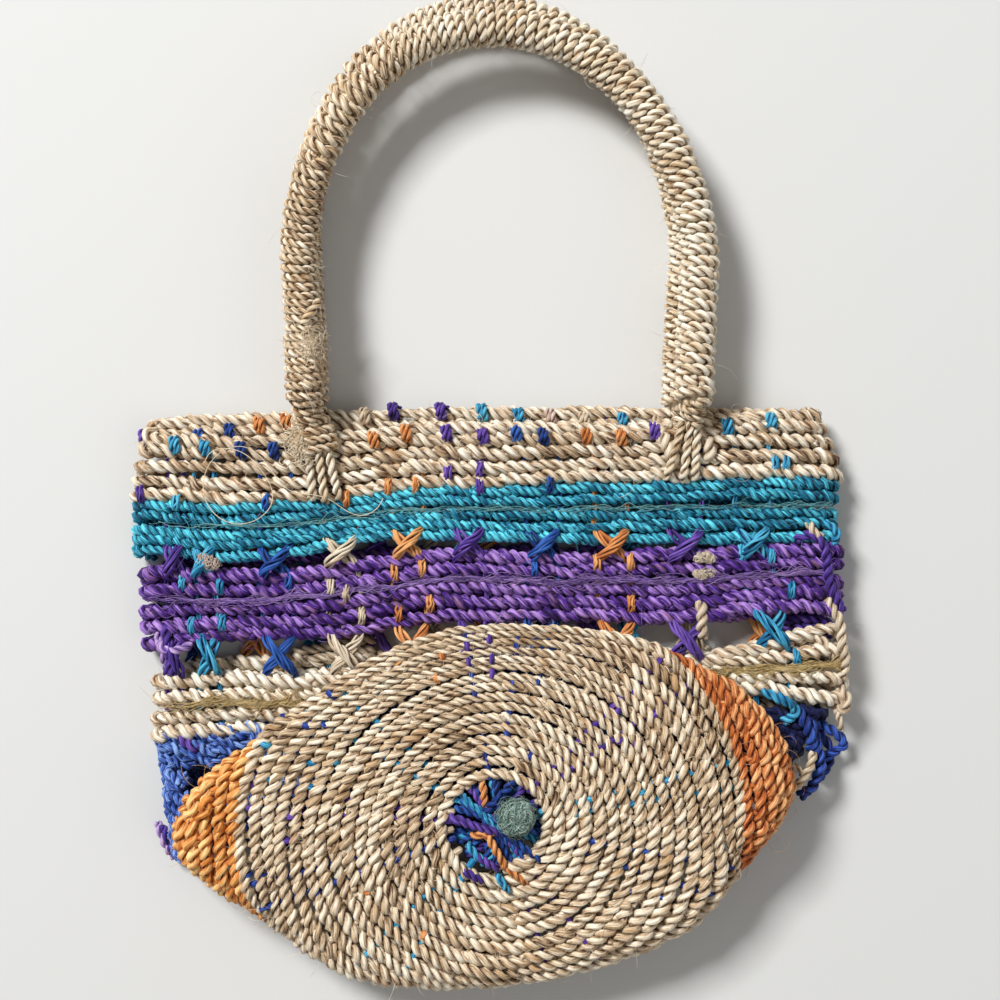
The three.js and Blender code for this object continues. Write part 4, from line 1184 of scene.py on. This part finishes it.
# Loose strands: a hank of untwisted fibre is laid along the middle of three bands, held only
# by the rows on both sides.
def loose_strand(path, count, spread, thickness):
    """Fine fibres that wander along a path. The rows beside it pinch them at even steps."""
    tangent = unit(np.gradient(path, axis=0))
    up = upward(path)
    side = unit(np.cross(up, tangent))
    pinch = 0.35 + 0.65 * np.abs(np.sin(np.arange(len(path)) * 0.22))
    fibres = []
    for i in range(count):
        begin = rng.integers(0, max(len(path) - 12, 1))
        part = slice(begin, begin + int(rng.uniform(12, 60)))
        size = len(path[part])
        stray = spread * (2.4 if i % 6 == 0 else 1.0) * pinch[part]
        place = path[part] + (wander(size, 7, 1.0) * stray)[:, None] * side[part] \
            + (np.abs(wander(size, 7, 0.6)) * stray)[:, None] * up[part]
        fibres.append((place, np.full(size, thickness * rng.uniform(0.6, 1.4)), rng.uniform(0.2, 1)))
    return fibres


# Line below the strand, share of the way down to it, left and right end, colours, fibres
LOOSE_STRANDS = {
    "turquoise": ("upper_gap", 0.43, -144, 141, ((10, 66, 86), (44, 130, 146), (150, 206, 206)), 60),
    "purple": ("lower_gap", 0.43, -140, 142, ((54, 24, 112), (112, 70, 166), (196, 164, 222)), 230),
    "lower_tan": ("blue", 0.52, -137, 144, ((124, 94, 46), (206, 172, 108), (242, 220, 166)), 420),
}
for name, (below, share, left, right, colours, count) in LOOSE_STRANDS.items():
    x = np.arange(left, right, 1.2)
    y = front_y(name, x) * (1 - share) + front_y(below, x) * share + wander(len(x), 11, 0.5)
    path = points_at(x, y, LYING_HEIGHT - 0.6)
    spread = 1.3 if name == "lower_tan" else 0.85
    slot, bodies = ("tan_weft", "bag_body") if name == "lower_tan" else (f"{name}_weft", "mouth")
    strands = loose_strand(path, count, spread, thickness=0.16)
    add_piece(name + "_loose_strand", strands, fibre_finish(f"loose_{name}", *colours), slot, bodies, sides=3)

# Repairs on the wall: thick cords over its edges, loops that hang from the lower corner, and
# ends of warps that show between the rows. An edge cord is given by its colour, its radius,
# its height above the ground and its places in the picture.
EDGE_CORDS = [
    ("purple", 2.1, 19.0, [(796, 541), (803, 536), (815, 535), (825, 545), (827, 560), (828, 578), (834, 594),
                           (845, 613)]),
    ("cream", 1.9, 18.6, [(809, 521), (812, 530), (818, 536), (824, 538)]),
    ("teal", 1.8, 18.0, [(822, 522), (830, 524), (838, 532), (838, 541), (832, 543)]),
    ("cream", 2.3, 18.6, [(828, 598), (833, 608), (839, 618), (842, 630), (841, 642), (845, 654), (846, 668),
                          (842, 680)]),
    ("cream", 2.2, 17.0, [(840, 686), (846, 694), (849, 704), (844, 712), (836, 708)]),
    ("cream", 3.2, 18.8, [(660, 431), (666, 443), (672, 456), (677, 468)]),
    ("cream", 3.0, 18.2, [(706, 436), (710, 448), (708, 462)]),
    ("cream", 2.4, 19.2, [(700, 600), (703, 612), (701, 626), (704, 640)]),
    ("cream", 1.6, 15.5, [(836, 706), (839, 716), (840, 726), (843, 732)]),
    ("teal", 2.2, 19.0, [(762, 691), (772, 696), (784, 701), (795, 706), (797, 713), (790, 719), (783, 723)]),
    ("teal", 1.9, 20.4, [(778, 695), (788, 701), (796, 709)]),
    ("navy", 2.6, 17.5, [(797, 708), (803, 718), (809, 730), (813, 742), (812, 752)]),
    ("navy", 2.5, 16.0, [(814, 736), (819, 750), (821, 764), (818, 778), (810, 790), (800, 798)]),
    ("navy", 2.3, 15.0, [(806, 716), (814, 728), (818, 742)]),
    ("navy", 2.2, 9.0, [(816, 722), (828, 728), (840, 736), (846, 744), (838, 750), (826, 756), (820, 766)]),
    ("navy", 2.0, 7.0, [(812, 724), (826, 740), (832, 752), (828, 768), (820, 780)]),
    ("cream", 1.9, 20.5, [(815, 752), (812, 764), (806, 774), (799, 784), (795, 791)]),
    ("cream", 1.8, 20.0, [(788, 761), (796, 767), (804, 775)]),
    ("cream", 2.2, 15.5, [(800, 641), (812, 636), (823, 641), (832, 652), (842, 664)]),
    ("cream", 2.1, 12.5, [(792, 648), (806, 646), (820, 648), (834, 656), (843, 672)]),
    ("purple", 2.2, 9.0, [(770, 625), (790, 619), (810, 618), (828, 622), (838, 632)]),
    ("purple", 2.2, 8.0, [(780, 632), (800, 627), (820, 628), (834, 636)]),
    ("purple", 2.2, 19.0, [(162, 622), (166, 636), (170, 650), (169, 664), (172, 678)]),
    ("lilac", 2.0, 20.0, [(157, 640), (162, 650), (174, 651), (184, 648), (192, 644)]),
    ("lilac", 1.8, 18.0, [(156, 632), (160, 646), (164, 658), (166, 672)]),
    ("purple", 2.3, 17.0, [(178, 737), (186, 743), (194, 748), (203, 750)]),
    ("lilac", 1.8, 9.0, [(156, 822), (161, 834), (166, 846), (174, 860)]),
    ("purple", 1.9, 11.0, [(160, 826), (168, 838), (172, 852), (180, 862)]),
    ("cream", 2.3, 6.0, [(272, 668), (292, 664), (314, 659), (336, 655), (356, 652), (376, 650)]),
    ("cream", 2.2, 6.5, [(292, 653), (312, 649), (334, 645), (356, 641), (378, 639)]),
]
LOWER_CORDS_PY, LOWER_ENDS_PY = 600, 645  # below these in the picture they lie on the bag's body
groups = defaultdict(list)
for colour, radius, height, places in EDGE_CORDS:
    px, py = np.array(places, float).T
    x, y = seen(px, py, height)
    path, = resample(points_at(x, y, height), 0.8)
    path = rounded(path, 5, 3)
    path[:, 2] -= 2.5 * np.cos(np.linspace(0, np.pi, len(path))) ** 4
    side = "upper" if py.mean() < LOWER_CORDS_PY else "lower"
    groups[colour, side] += two_ply(path, upward(path), radius, twist=8.4)
WARP_ENDS = [("teal", 182, 583), ("teal", 220, 586), ("teal", 191, 626), ("teal", 222, 623),
             ("blue", 289, 583), ("cream", 330, 588), ("cream", 346, 594), ("cream", 362, 616),
             ("orange", 394, 573), ("orange", 422, 568), ("orange", 399, 614), ("orange", 430, 604),
             ("orange", 388, 487), ("orange", 416, 485), ("purple", 448, 473), ("purple", 480, 470),
             ("purple", 480, 486), ("blue", 551, 485), ("orange", 597, 563), ("orange", 630, 562),
             ("orange", 631, 604), ("teal", 742, 553), ("teal", 772, 556), ("teal", 791, 590),
             ("teal", 775, 464), ("teal", 786, 464), ("teal", 797, 657), ("blue", 534, 568),
             ("purple", 140, 494), ("teal", 176, 502), ("blue", 266, 502), ("orange", 346, 499)]
WARP_END_LENGTH = 6.2
for colour, px, py in WARP_ENDS:
    x, y = seen(px, py, 18)
    share = np.linspace(0, 1, 12)
    path = points_at(x + rng.uniform(-0.5, 0.5) * share, y + WARP_END_LENGTH * (0.5 - share),
                     LYING_HEIGHT - 1.6 + 2.4 * np.sin(np.pi * share))
    side = "upper" if py < LOWER_ENDS_PY else "lower"
    groups[colour, side] += fibre_bundle(path, upward(path), radius=1.5)
for (colour, side), strands in groups.items():
    add_groups(side + "_mends_{}", {colour: strands}, "lower_gap" if side == "upper" else "bag_body")

# Feet of the front handle: on the left more turns of the wrapping run down over the fan and
# hold it, with frayed fibre round them. On the right the wrapping stops at the rim. At both
# feet there is a short neck of turns.
collar = np.linspace((-73.4, 28.6, 21.6), (-70.4, 14.0, 18.6), 40)
wraps = wrapping(collar, ((0, 0.4, 1), (5.6, 7.4, 8.0)), cord=1.9, pitch=3.6, lean=5.0, ridge=0.3)
squash = np.array([1.0, 1.0, 0.55])
wraps = [(points * squash + (0, 0, 9.4), radius, tone, cord * squash + (0, 0, 9.4))
         for points, radius, tone, cord in wraps]
add_cord("left_foot_turns", wraps, "front_wall")
for side, low, high, ring in (("left", (-73.4, 26.6, 21.2), (-74.6, 36.5, 26.5), (4.2, 4.6, 5.0)),
                              ("right", (82.4, 26.6, 21.2), (82.8, 36.5, 26.5), (3.6, 4.0, 4.4))):
    neck = np.linspace(low, high, 30)
    strands = wrapping(neck, ((0, 0.5, 1), ring), cord=1.8, pitch=3.5, lean=2.0, ridge=0.45)
    add_cord(f"{side}_foot_neck", strands, f"{side}_foot")
straw_finish = fibre_finish("straw", (174, 132, 90), (236, 206, 166), (255, 240, 212))
FRAYED_FALL = 6.0  # how far the frayed fibre hangs down at its sides


def frayed_patch(px, py, height, long, wide, count):
    """A mat of fine frayed fibres over a place seen in the picture."""
    x, y = seen(px, py, height)
    fibres = []
    for _ in range(count):
        steps = int(rng.uniform(6, 11))
        heading = rng.uniform(0, 2 * np.pi) + np.cumsum(rng.normal(0, 0.4, steps) + rng.normal(0, 0.25))
        begin = np.array([x + rng.normal(0, wide), y + rng.normal(0, long), height])
        way = 0.8 * points_at(np.cos(heading), np.sin(heading), rng.normal(0, 0.25, steps))
        hair = begin + np.cumsum(way, axis=0)
        middle = (hair[:, 0] - x) / (HANDLE_RADIUS * 1.1)
        hair[:, 2] += rng.uniform(-0.2, 0.8) - FRAYED_FALL * np.clip(middle, -1, 1) ** 2
        fibres.append((hair, np.full(steps, rng.uniform(0.1, 0.2)), rng.uniform(0.2, 1.2)))
    return fibres


strands = frayed_patch(302, 442, height=24.6, long=2.9, wide=2.7, count=300)
add_piece("frayed_foot", strands, straw_finish, "handle_cord", "front_wall", sides=3)
strands = frayed_patch(307, 345, height=33.4, long=3.2, wide=2.3, count=240)
add_piece("frayed_leg", strands, straw_finish, "handle_cord", "front_handle", sides=3)

# Knots: small clumps of pink and cream fibre on the front wall.
KNOTS = {"pink": [(202, 559, 2.1, 20.6), (208, 561, 2.4, 21.0), (214, 564, 2.1, 20.6)],
         "cream": [(699, 558, 1.8, 18.6), (706, 557, 2.1, 18.8), (711, 559, 1.6, 18.6),
                   (697, 574, 1.5, 18.4), (704, 574, 1.9, 18.6), (711, 573, 1.6, 18.4)]}
for colour, clumps in KNOTS.items():
    strands = []
    for px, py, radius, height in clumps:
        x, y = seen(px, py, height)
        strands += ball_of_fibre(np.array([x, y, height]), radius, 30, 0.27, 0.7)
        strands += ball_of_fibre(np.array([x, y, height]), radius * 1.3, 12, 0.12, 0.9)
    add_groups("knots_{}", {colour: strands}, "front_wall", sides=3)

# Stray straws: one long fine fibre has sprung out of the top band and lies over it in loops,
# and short ends of wrapping cord stick out of the left leg.
STRAY = [(203, 466), (209, 450), (226, 447), (246, 452), (262, 470), (274, 490), (272, 508), (256, 522),
         (236, 526), (216, 518), (204, 500), (202, 482), (208, 462), (224, 448), (244, 444), (262, 456),
         (276, 478), (290, 494), (312, 494), (330, 498), (346, 512), (362, 518), (378, 510), (384, 496)]
STRAY_HEIGHT = 20.6
x, y = seen(*np.array(STRAY, float).T, 21)
knots = np.linspace(0, 1, len(x))
fine = np.linspace(0, 1, 220)
path = points_at(np.interp(fine, knots, x), np.interp(fine, knots, y), STRAY_HEIGHT + 0.9 * np.sin(fine * 19))
path = rounded(path, 14, 6)
add_piece("stray_straw", [(path, np.full(len(path), 0.17), 0.9)], straw_finish, "handle_cord", "front_wall")
x, y = seen([303, 308, 314, 319], [323, 316, 308, 301], 34)
path, = resample(points_at(x, y, [32.5, 34.0, 34.2, 33.0]), 0.8)
strands = two_ply(path, upward(path), radius=1.9, twist=7.0, tones=0.15)
add_cord("cord_end", strands, "front_handle")

for section in profiles.values():
    bpy.data.objects.remove(section)
